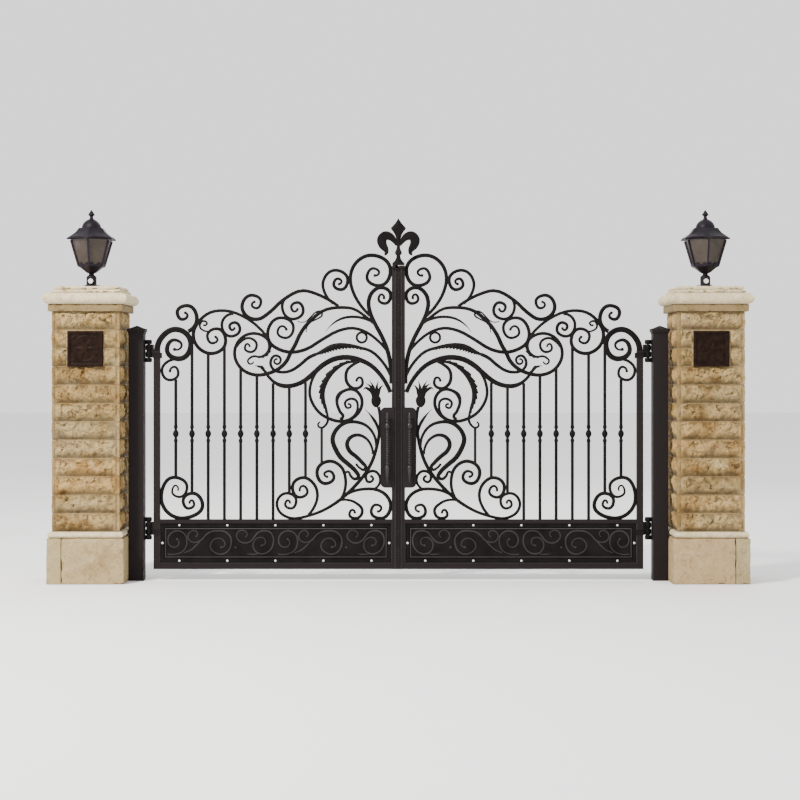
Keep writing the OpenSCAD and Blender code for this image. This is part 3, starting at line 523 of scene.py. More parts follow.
TENDRILS = [
    ([22, 20, 14], [(566, 1305), (566, 1274), (588, 1234), (614, 1218), (644, 1240), (627, 1264)]),
    ([20, 16, 12], [(1135, 1788), (1188, 1776), (1205, 1750), (1178, 1728), (1160, 1748)]),
    ([26, 22, 4], [(190, 2056), (263, 2089), (367, 2106), (462, 2089), (541, 2037), (584, 1985)]),
    ([16, 26, 4], [(160, 1170), (168, 1224), (210, 1300), (270, 1366)]),
    ([8, 16, 8], [(808, 2070), (748, 2066), (698, 2110), (658, 2144), (618, 2146), (612, 2120), (648, 2090),
     (698, 2064), (728, 2030), (738, 1980)]),
    ([44, 26, 4], [(190, 1440), (204, 1490), (236, 1524), (268, 1536), (284, 1522)]),
    ([34, 24, 4], [(188, 1446), (206, 1512), (226, 1550), (262, 1572)]),
    ([34, 24, 4], [(188, 1446), (196, 1512), (206, 1552), (236, 1596)]),
    ([34, 24, 4], [(184, 1446), (176, 1508), (174, 1550), (160, 1592)]),
    ([36, 22, 4], [(182, 1446), (160, 1498), (146, 1540), (118, 1560)]),
]
FEATHER = ([30, 60, 22], [(295, 1852), (410, 1872), (523, 1860), (611, 1824), (680, 1798)])
OAK = ([22, 54, 22], [(566, 1300), (583, 1370), (607, 1440), (612, 1520), (585, 1594), (496, 1699),
                      (410, 1742), (345, 1747)])
RING_LEAF = ([10, 34, 8], [(405, 1528), (462, 1500), (494, 1440), (474, 1360)])
SWOOSH_LEAF = ([6, 30, 10], [(1150, 1712), (1102, 1706), (1066, 1668), (1040, 1624)])
HOOK = ([26, 34, 20], [(1055, 1933), (1030, 1880), (1042, 1822), (1087, 1788), (1139, 1788)])
FEET = [825, 690, 485, 485, 485, 485, 485, 690, 815]
HEADS = [1605, 1870, 1815, 1880, 1700, 1645, 1575, 1555, 1580]

# Scrolls pressed in the kick panel: half of the panel, repeated 885 mm nearer the middle.
PRESSED = [
    ([8, 13, 9], [(1846, 208), (1773, 209), (1717, 237), (1690, 300), (1707, 367), (1760, 394), (1819, 374),
     (1843, 320), (1823, 273), (1780, 265), (1754, 295), (1770, 328)], 8),
    ([9, 14, 9], [(1620, 347), (1604, 367), (1620, 394), (1657, 390), (1681, 347), (1657, 310), (1614, 303),
     (1574, 320), (1541, 357), (1501, 385), (1448, 394), (1382, 387), (1334, 334), (1335, 280), (1358, 233),
     (1405, 208), (1461, 220), (1500, 267), (1484, 313), (1441, 335), (1395, 317), (1385, 277), (1412, 263)],
     9),
    ([6, 12, 6], [(1713, 220), (1660, 240), (1610, 283), (1574, 320)], 0),
    ([9, 14, 9], [(1219, 344), (1203, 367), (1223, 394), (1259, 397), (1289, 354), (1262, 310), (1213, 297),
     (1176, 310), (1143, 347), (1113, 382), (1070, 395), (1014, 380), (990, 320), (1004, 260), (1050, 217),
     (1113, 215), (1153, 262), (1143, 318), (1100, 342), (1060, 325), (1062, 288), (1087, 277)], 8),
    ([5, 10, 5], [(1100, 214), (1160, 206), (1215, 212)], 0),
]


def ironwork(side, mirrored):
    """Scrolls, forged leaves and balusters of one leaf of the gate."""
    body = side + "_leaf"
    for group, name in ((CROWN, "crown"), (HEART, "heart"), (BASE, "base")):
        b = Build()
        for w, pts, eye in group:
            forged(b, (w, pts), mirrored, eye=eye)
        if name == "heart":
            ring_x, ring_z = place((295, 1940))
            turns = [2 * math.pi * k / 32 for k in range(33)]
            sweep(b, [(ring_x + 40 * math.cos(a), ring_z + 40 * math.sin(a)) for a in turns],
                  lambda i: oval(10, 9.8), mirrored)
        b.piece(f"{side}_{name}_bars", IRON, body, "iron", replaces=(f"{side}_{name}_scrolls",))

    b = Build()
    for stroke in TENDRILS:
        forged(b, stroke, mirrored, 9)
    for stroke, teeth in ((FEATHER, 16), (OAK, 13), (HOOK, 7), (RING_LEAF, 6), (SWOOSH_LEAF, 3)):
        leaf_blade(b, stroke, mirrored, teeth)
    bulb_x, bulb_z = place((180, 1430))
    bulb = [(max(0.5, 40 * math.sin(a) * (1 - 0.12 * math.cos(a))), -50 * math.cos(a))
            for a in [math.radians(q) for q in range(0, 181, 12)]]
    first = len(b.v)
    lathe(b, bulb, (bulb_x, 0, bulb_z), 24, "z", mirrored, 8, 0.1)
    b.bend(first, lambda x, y, z: (x, y * 0.27, z))
    b.piece(f"{side}_forged_leaves", IRON, body, "iron", angle=32, replaces=(f"{side}_leaf_work",))

    b = Build()
    knot = place((0, 1170))[1]
    half_knot = [(12, 68), (14.5, 66), (16.2, 58), (16, 50), (13.5, 43), (10.5, 38), (10.8, 31), (15, 25),
                 (21, 15), (24, 5)]
    turned = [(r, knot - h) for r, h in half_knot] + [(r, knot + h) for r, h in reversed(half_knot)]
    for k, (foot, head) in enumerate(zip(FEET, HEADS)):
        x = place((1780 - 129.5 * k, 0))[0]
        profile = [(12, place((0, foot))[1])] + turned + [(12, place((0, head))[1])]
        lathe(b, profile, (x, 0, 0), 20, "z", mirrored, square=12)
    short = [(11, place((0, z))[1]) for z in (930, 1222)]
    lathe(b, short, (place((615, 0))[0], 0, 0), 20, "z", mirrored, square=11)
    b.piece(f"{side}_round_bars", IRON_BAR, body, "iron", replaces=(f"{side}_balusters",))


def kick_details(side, mirrored):
    """Pressed scrolls, beads and rivets on both faces of one kick panel."""
    body = side + "_leaf"
    b = Build()
    for w, pts, eye in PRESSED:
        for shift in (0, 885):
            line = [(1846 - (1846 - x) * 0.99 - shift, z) for x, z in pts]
            forged(b, (w, line), mirrored, 9.6, raw=True, bulge=1.2)
            if eye:
                x, z = line[-1]
                button = [(0.4, -11), (eye * 0.8, -9), (eye, 0), (eye * 0.8, 9), (0.4, 11)]
                lathe(b, button, (x, 0, z), 16, "y", mirrored)
    flower = [(0.4, -10.5), (6, -9), (11, -6), (13, 0), (11, 6), (6, 9), (0.4, 10.5)]
    for x in (1302, 417):
        lathe(b, flower, (x, 0, 261), 20, "y", mirrored, 5, 0.3)
    # The pressed scrolls are in the lighter relief iron: a painted highlight on the relief.
    b.piece(f"{side}_pressed_scrolls", IRON_PAINTED_HIGHLIGHT_RELIEF, body, "iron")

    b = Build()

    def bead(x0, z0, x1, z1, half, deep):
        sweep(b, [(x0, z0), (x1, z1)], lambda i: oval(half, deep), mirrored)

    for z in (185, 411):
        bead(95, z, 1864, z, 3.4, 11)
    for x in (98, 1861):
        bead(x, 184, x, 412, 3.4, 11)
    bead(MEET_OUT + 2, 138, HINGE_IN - 2, 138, 2.6, 26.4)
    for x in (MEET_OUT + 1, HINGE_IN - 1):
        bead(x, 137, x, 470, 2.2, 26.2)
    # The beads are in the lighter bead iron: painted highlight lines along the mouldings and joints.
    b.piece(f"{side}_panel_beads", IRON_PAINTED_HIGHLIGHT_BEAD, body, "iron")

    b = Build()
    spots = [(215 + 384 * k, z) for k in range(5) for z in (155, 440)] + [(73, 297), (1886, 297)]
    head = [(9.6, 0), (9.8, 1.6), (8.6, 4), (6.2, 5.8), (3, 6.8), (0.4, 7)]
    face = 11.6
    for x, z in spots:
        for s in (1, -1):
            lathe(b, [(r, s * (face + h)) for r, h in head], (x, 0, z), 20, "y", mirrored)
    b.piece(f"{side}_panel_rivets", ZINC, body, "iron")


def pull(side, mirrored):
    """The turned pull handle of one leaf, on two feet."""
    b = Build()
    x, plate_face, stand_off = 88, -37, 40
    low, high, knob, drop = (place((0, z))[1] for z in (802, 1322, 1234, 904))
    profile = [(0.5, low - 24), (3, low - 20), (7, low - 6), (9.5, low + 12), (12, low + 34), (16, drop - 34),
               (19.5, drop - 8), (19, drop + 4), (13, drop + 14), (9, drop + 18), (9, drop + 26)]
    z = drop + 26
    while z < knob - 62:
        profile += [(7.5, z), (11.5, z + 4), (13, z + 9), (11.5, z + 14), (7.5, z + 18)]
        z += 19
    profile += [(7, z + 2), (13, knob - 40), (13, knob - 34), (8, knob - 29), (12, knob - 22), (18, knob - 13),
                (21, knob), (18, knob + 13), (12, knob + 22), (8, knob + 29), (13, knob + 34),
                (13, knob + 40), (8, knob + 46), (8.5, high - 34), (12, high - 28), (13, high - 10),
                (8, high + 8), (3, high + 21), (0.5, high + 24)]
    lathe(b, profile, (x, plate_face - stand_off, 0), 24, "z", mirrored)
    foot = [(15, 0), (15.5, 3), (12, 6), (8, 10), (7, 22), (8, 34), (9, stand_off)]
    for z in (high - 20, low + 34):
        lathe(b, foot, (x, plate_face, z), 20, "y", mirrored)
    # The pull is in the lighter relief iron: a painted highlight over the whole handle.
    b.piece(f"{side}_turned_pull", IRON_PAINTED_HIGHLIGHT_RELIEF, side + "_leaf", "iron", replaces=(f"{side}_pull_handle",))


def hinge_rings():
    """Bulged knuckles: the outer two of each hinge on the post, the middle two on the leaf."""
    on_post, on_leaf = ((-90, -54), (54, 90)), ((-52, -1), (1, 52))
    for side, mirrored in LEAVES:
        fixed, moving = Build(), Build()
        for middle in (414, 1832):
            for b, spans in ((fixed, on_post), (moving, on_leaf)):
                for z0, z1 in spans:
                    half = (z1 - z0) / 2
                    c = middle + (z0 + z1) / 2
                    ring = [(16 + 9.5 * math.cos(math.radians(q)) ** 0.6, c + half * math.sin(math.radians(q)))
                            for q in range(-80, 81, 16)]
                    lathe(b, ring, (PIN_X, 0, 0), 28, "z", mirrored)
        fixed.piece(f"{side}_post_knuckles", IRON_BAR, "root", "iron")
        moving.piece(f"{side}_leaf_knuckles", IRON_BAR, side + "_leaf", "iron")


def strips():
    """Half of the flat cover strip on each leaf, its outer edge bevelled, with thin lighter rods along it as
    painted highlight lines.

    The two halves end 0.15 mm from the middle. A thin rib on the left one closes the slit from behind, and
    a small block on the head of the right one stands beside the foot of the fleur-de-lis.
    """
    section = [(0.15, 25), (28, 25), (28, 28.5), (26.6, 30), (23.4, 33), (22, 33), (21, 32.2), (20, 33),
               (0.15, 33)]
    heights = [GROUND + (TOP - GROUND) * k / 24 for k in range(25)]
    for side, mirrored in LEAVES:
        b = Build()
        b.put([(x, -y, z) for z in heights for x, y in section], skin(len(heights), len(section)),
              mirrored=mirrored)
        if side == "left":
            box(b, (-0.14, -26, GROUND + 2), (3, -21, TOP - 2), mirrored)
        else:
            box(b, (3, -48.6, 2492), (49, -32.5, 2513))
        b.piece(f"{side}_strip_half", IRON_STRIP, side + "_leaf", "iron", angle=20,
                replaces=(f"{side}_cover_strip",))
        b = Build()
        # Two thin rods in the lighter relief iron: painted highlight lines along the bevel and the groove.
        for x, y, r in ((27.2, 29.6, 1.5), (21, 32.6, 1.2)):
            lathe(b, [(r, GROUND + 1), (r, TOP - 1)], (x, -y, 0), 8, "z", mirrored)
        b.piece(f"{side}_strip_painted_highlights", IRON_PAINTED_HIGHLIGHT_RELIEF, side + "_leaf", "iron")


def fleur():
    """The fleur-de-lis on the head of the left strip: spear, two petals, and a tied foot."""
    b = Build()
    mid, front, back = -41, -48.8, -33.4

    def lifted(shape, *values):
        """Draw a shape that lies on the gate's plane at the fleur's depth, cut flat to its thickness."""
        first = len(b.v)
        shape(*values)
        b.bend(first, lambda x, y, z: (x, max(front, min(back, y + mid)), z))

    spear = [(2640, 15), (2676, 13), (2700, 14), (2730, 18), (2760, 28), (2785, 43), (2803, 58), (2813, 61),
             (2828, 47), (2848, 29), (2870, 13), (2890, 1.5)]
    v = []
    for z, w in spear:
        v += [(a * w, mid - 7.6 * (1 - abs(a)) ** 0.7, z) for a in (-1, -0.72, -0.34, 0, 0.34, 0.72, 1)]
        v += [(a * w, mid + 7.6 * (1 - abs(a)) ** 0.7, z) for a in (0.72, 0.34, 0, -0.34, -0.72)]
    b.put(v, skin(len(spear), 12))

    petal = [(14, 2672), (31, 2708), (60, 2740), (104, 2750), (132, 2718), (122, 2672), (98, 2634), (98, 2610),
             (112, 2602)]
    wide = [17, 40, 60, 76, 80, 68, 44, 26, 20]

    def full_petal(mirrored):
        line, at = curve(petal)

        def ring(i):
            q = at[i] * (len(wide) - 1)
            k = min(len(wide) - 2, int(q))
            half = (wide[k] + (wide[k + 1] - wide[k]) * (q - k)) / 2
            out = []
            for n in range(14):
                a = 2 * math.pi * n / 14
                c, s = math.cos(a), math.sin(a)
                groove = 1 - 0.42 * math.exp(-((c - 0.25) / 0.3) ** 2)
                out.append((half * bent(c, 0.8), 7.6 * groove * bent(s, 0.7)))
            return out

        sweep(b, line, ring, mirrored)

    for mirrored in (False, True):
        lifted(full_petal, mirrored)

    foot = [(2516, 49), (2524, 50), (2532, 48), (2541, 40), (2552, 29), (2568, 20), (2584, 16), (2596, 16),
            (2602, 24), (2608, 27), (2624, 27), (2630, 22), (2650, 15)]
    section = ((-1, 0.55), (-0.8, 1), (0.8, 1), (1, 0.55), (1, -0.55), (0.8, -1), (-0.8, -1), (-1, -0.55))
    b.put([(a * w, mid - 7.8 * d, z) for z, w in foot for a, d in section], skin(len(foot), len(section)))
    strand = ([9, 12, 9], [(8, 2598), (13, 2568), (25, 2546), (42, 2530)])
    for mirrored in (False, True):
        lifted(forged, b, strand, mirrored, 7.6, 0, True)
    box(b, (-24, -48.6, 2482), (-3, back, 2552))
    box(b, (-49, -48.6, 2492), (-3, back, 2518))
    b.piece("fleur_de_lis", IRON, "left_leaf", "iron", angle=35, replaces=("fleur_finial",))


# ---------------------------------------------------------------- piers

# The four sides of a pier, from the street round: the way each faces, and the way along it.
SIDES = [((0, -1), (1, 0)), ((1, 0), (0, 1)), ((0, 1), (-1, 0)), ((-1, 0), (0, -1))]
FLANKS = (1, 3)


def facet(p, scale, amount):
    """Broken-stone facets: each cell is a plane with its own tilt."""
    d, pts = noise.voronoi(p * scale)
    tilt = noise.cell_vector(pts[0] * 13.7)
    off = p * scale - pts[0]
    return amount * ((tilt - Vector((0.5, 0.5, 0.5))).dot(off) * 1.6 + 0.35 * (tilt.x - 0.5))


def rock_out(seed, t, z, wide, high, reach=1.0):
    """How far a point of a stone's face stands out of its joint plane, in millimetres."""
    margin = 22
    edge = min(t, wide - t)
    p = Vector((t / 100 + seed * 7.3, z / 100 + seed * 3.1, seed * 1.7))
    if edge < margin:
        flat = 8 + 0.9 * noise.noise(p * 6) - (3 if margin - edge < 5 else 0)
        return min(1, max(0, z / 3)) * min(1, max(0, (high - z) / 3)) * flat
    lip = 58 + 52 * noise.noise(Vector((t / 110, seed, 5.0))) + 26 * noise.noise(Vector((t / 34, seed, 2.0)))
    lip = min(104, max(22, lip))
    cap = 6 + 14 * abs(noise.noise(Vector((t / 60, seed, 9.0))))
    under = min(1, max(0, (z - 3) / lip)) ** 1.8
    rise = under * min(1, max(0, (high - z) / cap)) ** 0.7
    slope = 1 - max(0, z - lip) / (high - lip)
    belly = 9 + 21 * slope
    belly += facet(p + Vector((1, 9, 2)), 4.6, 10) + facet(p, 1.0, 26) + facet(p + Vector((3, 1, 4)), 2.2, 24)
    belly += 6 * noise.fractal(p * 1.8, 0.8, 2.1, 4) + 2.6 * noise.noise(p * 8)
    lead = min(1, (edge - margin) / (30 + 26 * noise.noise(Vector((z / 40, seed, 3.0)))))
    return max(1.0, min(34, 7 * (1 - lead) + rise * belly * (0.35 + 0.65 * lead))) * reach


def course_block(b, cx, z0, seed, rng, behind_plaque):
    """One course: a block as wide as the shaft, with four rock faces between drafted corners."""
    half, joint, plaque_half = 258, 4, 146
    wide, high = 2 * half, COURSE - joint
    columns, steps = 50, 13
    along = [0, 9, 18, 23, 27.5] + [30 + (wide - 60) * k / columns for k in range(columns + 1)]
    along += [wide - 27.5, wide - 23, wide - 18, wide - 9]
    rows = [0, 2, 5, 9, 14] + [20 + (high - 34) * k / (steps - 1) for k in range(steps)]
    rows += [high - 9, high - 5, high - 2, high]
    tints = []
    for s in range(4):
        w = rng.uniform(0.88, 1.1)
        warm = rng.uniform(-0.05, 0.07)
        # The flanks are painted 1.2 times lighter and a little warmer: painted light that lifts their shade.
        if s in FLANKS:
            w, warm = w * 1.2, warm + 0.03
        tints.append((min(1.25, w * (1 + warm * 0.6)), w * (1 - warm * 0.5), w * (1 - warm * 2)))
    verts, cols = [], []
    for z in rows:
        for s, ((nx, ny), (tx, ty)) in enumerate(SIDES):
            for t in along:
                near = abs(t - half) - plaque_half
                if s or not behind_plaque:
                    out = rock_out(seed + s * 11, t, z, wide, high, 0.62 if s in FLANKS else 1.0)
                elif near < 0:
                    out = 12.0
                else:
                    out = rock_out(seed, t, z, wide, high) * min(1, 0.45 + near / 40) if near > 0 else 6
                if t == 0:
                    out = 7 * min(1, z / 3) * min(1, (high - z) / 3)
                    px, py = SIDES[s - 1][0]
                    x = (nx + px) * (half + out)
                    y = (ny + py) * (half + out)
                else:
                    x = nx * (half + out) + tx * (t - half)
                    y = ny * (half + out) + ty * (t - half)
                verts.append((cx + x, y, z0 + joint / 2 + z))
                # Painted shade: each face darkens where it sits back towards its joint plane, and most in the
                # lower 80 mm under the ridge.
                depth = max(0.0, min(1.0, out / 15))
                painted_shade = 0.26 + 0.74 * depth if 6 < t < wide - 24 and z < 80 else 0.55 + 0.45 * depth
                cols.append(tuple(q * painted_shade for q in tints[s]))
    b.put(verts, skin(len(rows), 4 * len(along)), cols)


def worn_block(b, cx, cy, wx, wy, z0, z1, seed, chamfer, cell, wobble, tint, chips):
    """A dressed stone: rounded arrises, slightly uneven faces and a few chipped edges."""
    size = (wx, wy, z1 - z0)
    bm = bmesh.new()
    bmesh.ops.create_cube(bm, size=1)
    for axis, n in enumerate(max(2, int(d / cell)) for d in size):
        for k in range(1, n):
            at, across = [0, 0, 0], [0, 0, 0]
            at[axis], across[axis] = k / n - 0.5, 1
            bmesh.ops.bisect_plane(bm, geom=bm.verts[:] + bm.edges[:] + bm.faces[:], plane_co=at,
                                   plane_no=across)
    verts = []
    for v in bm.verts:
        q = [v.co[a] * size[a] for a in range(3)]
        gap = [size[a] / 2 - abs(q[a]) for a in range(3)]
        near = sorted(range(3), key=lambda a: gap[a])
        p = Vector(((cx + q[0]) / 100, (cy + q[1]) / 100, (z0 + q[2]) / 100 + seed * 5.1))
        pull_in = wobble * (0.5 + noise.fractal(p * 1.5, 0.8, 2.1, 3))
        if gap[near[0]] < 0.5 and gap[near[1]] < 0.5:
            bite = chamfer * 0.55 + chips * max(0, noise.noise(p * 3.1) - 0.15) * 3
            for a in near[:2 if gap[near[2]] > 0.5 else 3]:
                q[a] -= math.copysign(bite, q[a])
        elif gap[near[0]] < 0.5:
            q[near[0]] -= math.copysign(max(0, pull_in), q[near[0]])
        verts.append((cx + q[0], cy + q[1], (z0 + z1) / 2 + q[2]))
    bm.verts.index_update()
    faces = [tuple(v.index for v in f.verts) for f in bm.faces]
    bm.free()
    b.put(verts, faces, tint)


def piers():
    """Stones, mortar, plinths, caps and string courses of both piers."""
    rng = random.Random(73)
    mortar, foot = Build(), Build()
    white = (1, 1, 1)
    for p, cx in enumerate(PIERS):
        stones = Build()
        for k in range(COURSES):
            course_block(stones, cx, SHAFT_LOW + k * COURSE, 40 * p + k * 3 + 1, rng, k in PLAQUE_COURSES)
        stones.piece(("left", "right")[p] + "_pier_stones", ROCK, "root", "stone", angle=24,
                     replaces=("pier_shafts",))
        box(mortar, (cx - 256, -256, SHAFT_LOW), (cx + 256, 256, SHAFT_LOW + COURSES * COURSE))
        for k in range(1, COURSES):
            z = SHAFT_LOW + k * COURSE
            box(mortar, (cx - 261, -261, z - 3), (cx + 261, 261, z + 3))
        outer = -1 if cx < 0 else 1
        for s in (-1, 1):
            for e in (-1, 1):
                tint = tuple(q * rng.uniform(0.92, 1.05) for q in white)
                wide = 118 if e == outer else 492
                mid = cx + e * (305 - wide / 2)
                worn_block(foot, mid, s * 152.5, wide - 0.8, 304.4, 0, 360, 5 * p + s + 2 * e, 5, 30, 1.5,
                           (min(1.08, tint[0]), tint[1], tint[1] * 0.95), 7)
    mortar.piece("pier_mortar", MORTAR, "root", "stone", smooth=False)
    foot.piece("plinth_stones", PLINTH, "root", "stone", angle=40, replaces=("pier_plinths",))

    caps = Build()
    for p, cx in enumerate(PIERS):
        # The fascia's dark tan tint is partly its own tan and partly painted shadow cast by the overhanging roll.
        worn_block(caps, cx, 0, 590, 590, 2138, 2198, 31 + p, 5, 20, 1.4, (0.34, 0.285, 0.2), 6)
        for z, wide, high, seed in ((2286, 550, 27, 3), (2313, 520, 27, 4)):
            worn_block(caps, cx, 0, wide, wide, z, z + high, seed + 9 * p, 5, 14, 1.2, white, 16)
        roll(caps, cx, 330, 2198, 88, 7 + p, 1.2)
    caps.piece("cap_stones", DRESSED, "root", "cap_stone", angle=38, replaces=("pier_caps",))
    strings = Build()
    for p, cx in enumerate(PIERS):
        roll(strings, cx, 295, 360, 50, 17 + p, 1.0)
    strings.piece("string_stones", DRESSED, "root", "stone", angle=38, replaces=("string_courses",))


def roll(b, cx, half, z0, high, seed, wobble):
    """A slab with half-round edges, mitred at its corners."""
    r, n = high / 2, 40
    verts = []
    arc = [math.radians(q) for q in range(-90, 91, 15)]
    for a in arc:
        reach = half - r + r * math.cos(a)
        for s, ((nx, ny), (tx, ty)) in enumerate(SIDES):
            for k in range(n):
                if k == 0:
                    px, py = SIDES[s - 1][0]
                    x, y = (nx + px) * reach, (ny + py) * reach
                else:
                    t = -reach + 2 * reach * k / n
                    p = Vector(((t + 900 * s) / 100, a * 2, seed * 3.7))
                    out = -wobble * (0.5 + noise.fractal(p * 1.3, 0.8, 2.1, 3))
                    x, y = nx * (reach + out) + tx * t, ny * (reach + out) + ty * t
                verts.append((cx + x, y, z0 + r + r * math.sin(a)))
    b.put(verts, skin(len(arc), 4 * n))


def plaques():
    """A square cast plaque on the street face of each shaft: rim, six-petalled flower, ring and corner bosses."""
    b = Build()
    low, half, face, back = 1706, 140, 269, 262
    n = 64
    m = n + 1
    for cx in PIERS:
        verts = []
        for i in range(m):
            for k in range(m):
                u, w = k / n * 2 - 1, i / n * 2 - 1
                e = max(abs(u), abs(w))
                h = 22 if e > 0.86 else 22 - 9 * min(1, (0.86 - e) / 0.05)
                if e > 0.97:
                    h -= 4 * (e - 0.97) / 0.03
                if e < 0.78:
                    r, a = math.hypot(u, w), math.atan2(w, u)
                    petal = math.cos(3 * a) ** 2
                    h += 5.5 * max(0, 1 - (r / (0.2 + 0.42 * petal)) ** 3) if r < 0.62 else 0
                    h += 3.5 * max(0, 1 - ((r - 0.69) / 0.05) ** 2)
                    corner = math.hypot(abs(u) - 0.62, abs(w) - 0.62)
                    h += 4 * max(0, 1 - (corner / 0.12) ** 2)
                    h += 0.7 * noise.noise(Vector((u * 9, w * 9, cx)))
                verts.append((cx + u * half, -face - h, low + half + w * half))
        faces = [(i * m + k, i * m + k + 1, (i + 1) * m + k + 1, (i + 1) * m + k)
                 for i in range(n) for k in range(n)]
        rim = list(range(m)) + [i * m + n for i in range(1, m)]
        rim += [n * m + k for k in range(n - 1, -1, -1)] + [i * m for i in range(n - 1, 0, -1)]
        base, count = len(verts), len(rim)
        verts += [(verts[q][0], -back, verts[q][2]) for q in rim]
        faces += [(rim[(k + 1) % count], rim[k], base + k, base + (k + 1) % count) for k in range(count)]
        faces.append(tuple(base + k for k in range(count)))
        b.put(verts, faces)
    b.piece("plaque_reliefs", PLAQUE, "root", "bronze", angle=50, replaces=("plaques",))


# ---------------------------------------------------------------- lanterns


def hexagon(r, a):
    """Distance to the side of a hexagon of corner radius r, with corners facing the street and back."""
    q = (a - math.pi / 6) % (math.pi / 3) - math.pi / 6
    return r * math.cos(math.pi / 6) / math.cos(q)


def corner_near(a):
    """1 on a corner of that hexagon, 0 on the middle of a side."""
    return 0.5 + 0.5 * math.cos(6 * (a - math.pi / 6))


def hex_shell(b, cx, rows, sides=96):
    """Six-sided rings: (corner radius, height, droop at the corners, extra reach at the corners)."""
    verts = []
    for r, z, droop, reach in rows:
        for k in range(sides):
            a = 2 * math.pi * k / sides
            c = corner_near(a) ** 3
            q = hexagon(r, a) + reach * c
            verts.append((cx + q * math.cos(a), q * math.sin(a), z - droop * c))
    b.put(verts, skin(len(rows), sides))


def lanterns():
    """Hood, stem, bowl and rim of each lantern, round the CAD's ribs and panes."""
    roofs, bases, rims = Build(), Build(), Build()
    for cx in PIERS:
        z = GLASS_HIGH
        hex_shell(roofs, cx, [
            (150, z - 1, 0, 0), (186, z + 2, 4, 0), (199, z + 8, 9, 4), (203, z + 15, 11, 7), (200, z + 20, 10, 6),
            (190, z + 24, 6, 2), (176, z + 31, 2, 0), (156, z + 42, 0, 0), (138, z + 55, 0, 0),
            (122, z + 72, 0, 0), (110, z + 88, 0, 0), (106, z + 93, 0, 0), (70, z + 94, 0, 0)])
        dome = [(60, 84), (80, 88), (82, 94), (77, 97), (76, 104), (73, 116), (66, 130), (55, 144), (41, 155),
                (26, 163), (17, 168), (13.5, 176), (13, 184), (14, 190), (20, 194), (26, 199), (26.5, 203),
                (24, 208), (18, 216), (12, 226), (6, 235), (2.5, 239), (0.4, 240)]
        lathe(roofs, [(r, z + h) for r, h in dome], (cx, 0, 0), 48)
        stem = [(30, 0), (76, 0), (77, 5), (74, 10), (52, 15), (46, 20), (41, 24), (40, 30), (40, 80), (38.5, 86),
                (33, 92), (24, 98), (20, 103), (19.5, 108), (24, 112), (30, 116), (20, 118)]
        lathe(bases, [(r, CAP + h) for r, h in stem], (cx, 0, 0), 40)
        nut = [(8, 0), (8, 5), (6, 7), (4, 11), (0.5, 12)]
        for a in (30, 150, 270):
            x, y = cx + 63 * math.cos(math.radians(a)), 63 * math.sin(math.radians(a))
            lathe(bases, [(r, CAP + 10 + h) for r, h in nut], (x, y, 0), 12)
        hex_shell(bases, cx, [(r, h, 0, 0) for r, h in (
            (38, CAP + 116), (42, CAP + 118), (66, CAP + 136), (92, CAP + 156), (110, GLASS_LOW - 5),
            (113, GLASS_LOW), (113, GLASS_LOW + 4), (PANE_R, GLASS_LOW + 5), (90, GLASS_LOW + 5))])
        lobes(rims, cx)
    roofs.piece("lantern_hoods", LANTERN, "root", "iron", angle=38, replaces=("lantern_roofs",))
    bases.piece("lantern_stems", LANTERN, "root", "iron", angle=38, replaces=("lantern_bases",))
    rims.piece("lantern_lobes", LANTERN, "root", "iron", angle=30)


def lobes(b, cx):
    """Two pointed leaves rising from the rim onto each pane."""
    lean = 66 / (GLASS_HIGH - GLASS_LOW)
    flat = math.cos(math.pi / 6)
    half = [(-0.5, 0), (-0.48, 8), (-0.33, 13), (-0.3, 20), (-0.12, 23)]
    outline = half + [(0, 31)] + [(-u, h) for u, h in reversed(half)]
    n = len(outline)
    f = [(k, k + 1, n + k + 1, n + k) for k in range(n - 1)] + [(n - 1, 0, n, 2 * n - 1)]
    f += [tuple(range(n)), tuple(reversed(range(n, 2 * n)))]
    for side in range(6):
        a = math.radians(60 * side + 60)
        for c in (-0.27, 0.27):
            v = []
            for depth in (1.0, 4.2):
                for u, h in outline:
                    r = PANE_R * flat + h * lean * flat + depth
                    t = (c + u * 0.5) * PANE_R
                    v.append((cx + r * math.cos(a) - t * math.sin(a), r * math.sin(a) + t * math.cos(a),
                              GLASS_LOW + h))
            b.put(v, f)


# ---------------------------------------------------------------- put together

for side, mirrored in LEAVES:
    ironwork(side, mirrored)
    kick_details(side, mirrored)
    pull(side, mirrored)
hinge_rings()
strips()
fleur()
piers()
plaques()
lanterns()


def finish_node(name, mat, bevel=0.0):
    """Give a node of the CAD its material, and a small bevel."""
    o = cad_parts[name]
    for s in o.material_slots:
        s.material = mat
    if not o.material_slots:
        o.data.materials.append(mat)
    if bevel:
        m = o.modifiers.new("edge", "BEVEL")
        m.width, m.segments, m.limit_method, m.angle_limit = bevel, 3, "ANGLE", math.radians(35)
        m.harden_normals = False


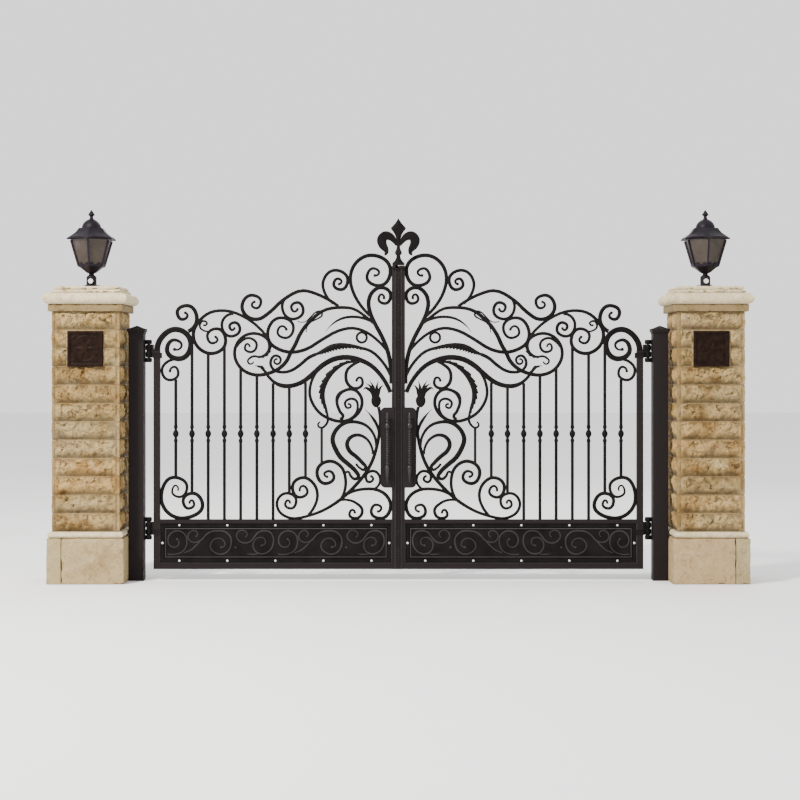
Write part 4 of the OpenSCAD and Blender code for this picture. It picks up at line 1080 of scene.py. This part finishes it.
for side in ("left", "right"):
    for part in ("hinge_stile", "meeting_stile", "rails"):
        finish_node(f"{side}_{part}", IRON, 0.003)
    finish_node(f"{side}_kick_panel", PANEL, 0.0015)
    finish_node(f"{side}_lock_plate", IRON, 0.0025)
    finish_node(f"{side}_hinge_straps", IRON_BAR, 0.001)
finish_node("gate_posts", IRON, 0.004)
finish_node("post_caps", IRON, 0.003)
finish_node("hinge_brackets", IRON_BAR, 0.001)
finish_node("lantern_frames", LANTERN, 0.002)
finish_node("lantern_glass", PANE)
finish_node("lantern_sensors", LENS, 0.002)

# ---------------------------------------------------------------- floor, light and camera

me = bpy.data.meshes.new("floor")
bm = bmesh.new()
bmesh.ops.create_grid(bm, x_segments=2, y_segments=2, size=60)
bm.to_mesh(me)
bm.free()
floor = bpy.data.objects.new("floor", me)
bpy.context.scene.collection.objects.link(floor)
fm, _, fp = node_material("floor_pale")
fp.inputs["Base Color"].default_value = (0.86, 0.86, 0.86, 1)
fp.inputs["Roughness"].default_value = 0.9
me.materials.append(fm)

world = bpy.data.worlds.new("studio")
bpy.context.scene.world = world
world.use_nodes = True
back = world.node_tree.nodes["Background"]
back.inputs["Color"].default_value = (1, 1, 1, 1)
back.inputs["Strength"].default_value = 1.5


def area(name, at, to, size, power, colour=(1, 1, 1)):
    """A round lamp at one point, aimed at another."""
    light = bpy.data.lights.new(name, "AREA")
    light.shape = "DISK"
    light.size = size
    light.energy = power
    light.color = colour
    o = bpy.data.objects.new(name, light)
    bpy.context.scene.collection.objects.link(o)
    o.location = at
    o.rotation_euler = (Vector(to) - Vector(at)).to_track_quat("-Z", "Y").to_euler()


area("key", (-7.0, -8.0, 10.0), (0, 0, 1.2), 1.6, 3400, (1.0, 0.97, 0.92))
area("fill", (8.5, -10.0, 4.5), (0, 0, 1.2), 5.0, 200)
area("rim", (2.0, 9.0, 8.0), (0, 0, 1.4), 5.0, 300)

camera = bpy.data.cameras.new("camera")
camera.sensor_width = 36
camera.lens = 78.75
camera.dof.use_dof = False
camera.clip_end = 200
eye = bpy.data.objects.new("camera", camera)
bpy.context.scene.collection.objects.link(eye)
camera.shift_x = 0.002
camera.shift_y = -0.0328
eye.location = (0.0, -14.0, 1.65)
eye.rotation_euler = (math.radians(90), 0, 0)
bpy.context.scene.camera = eye
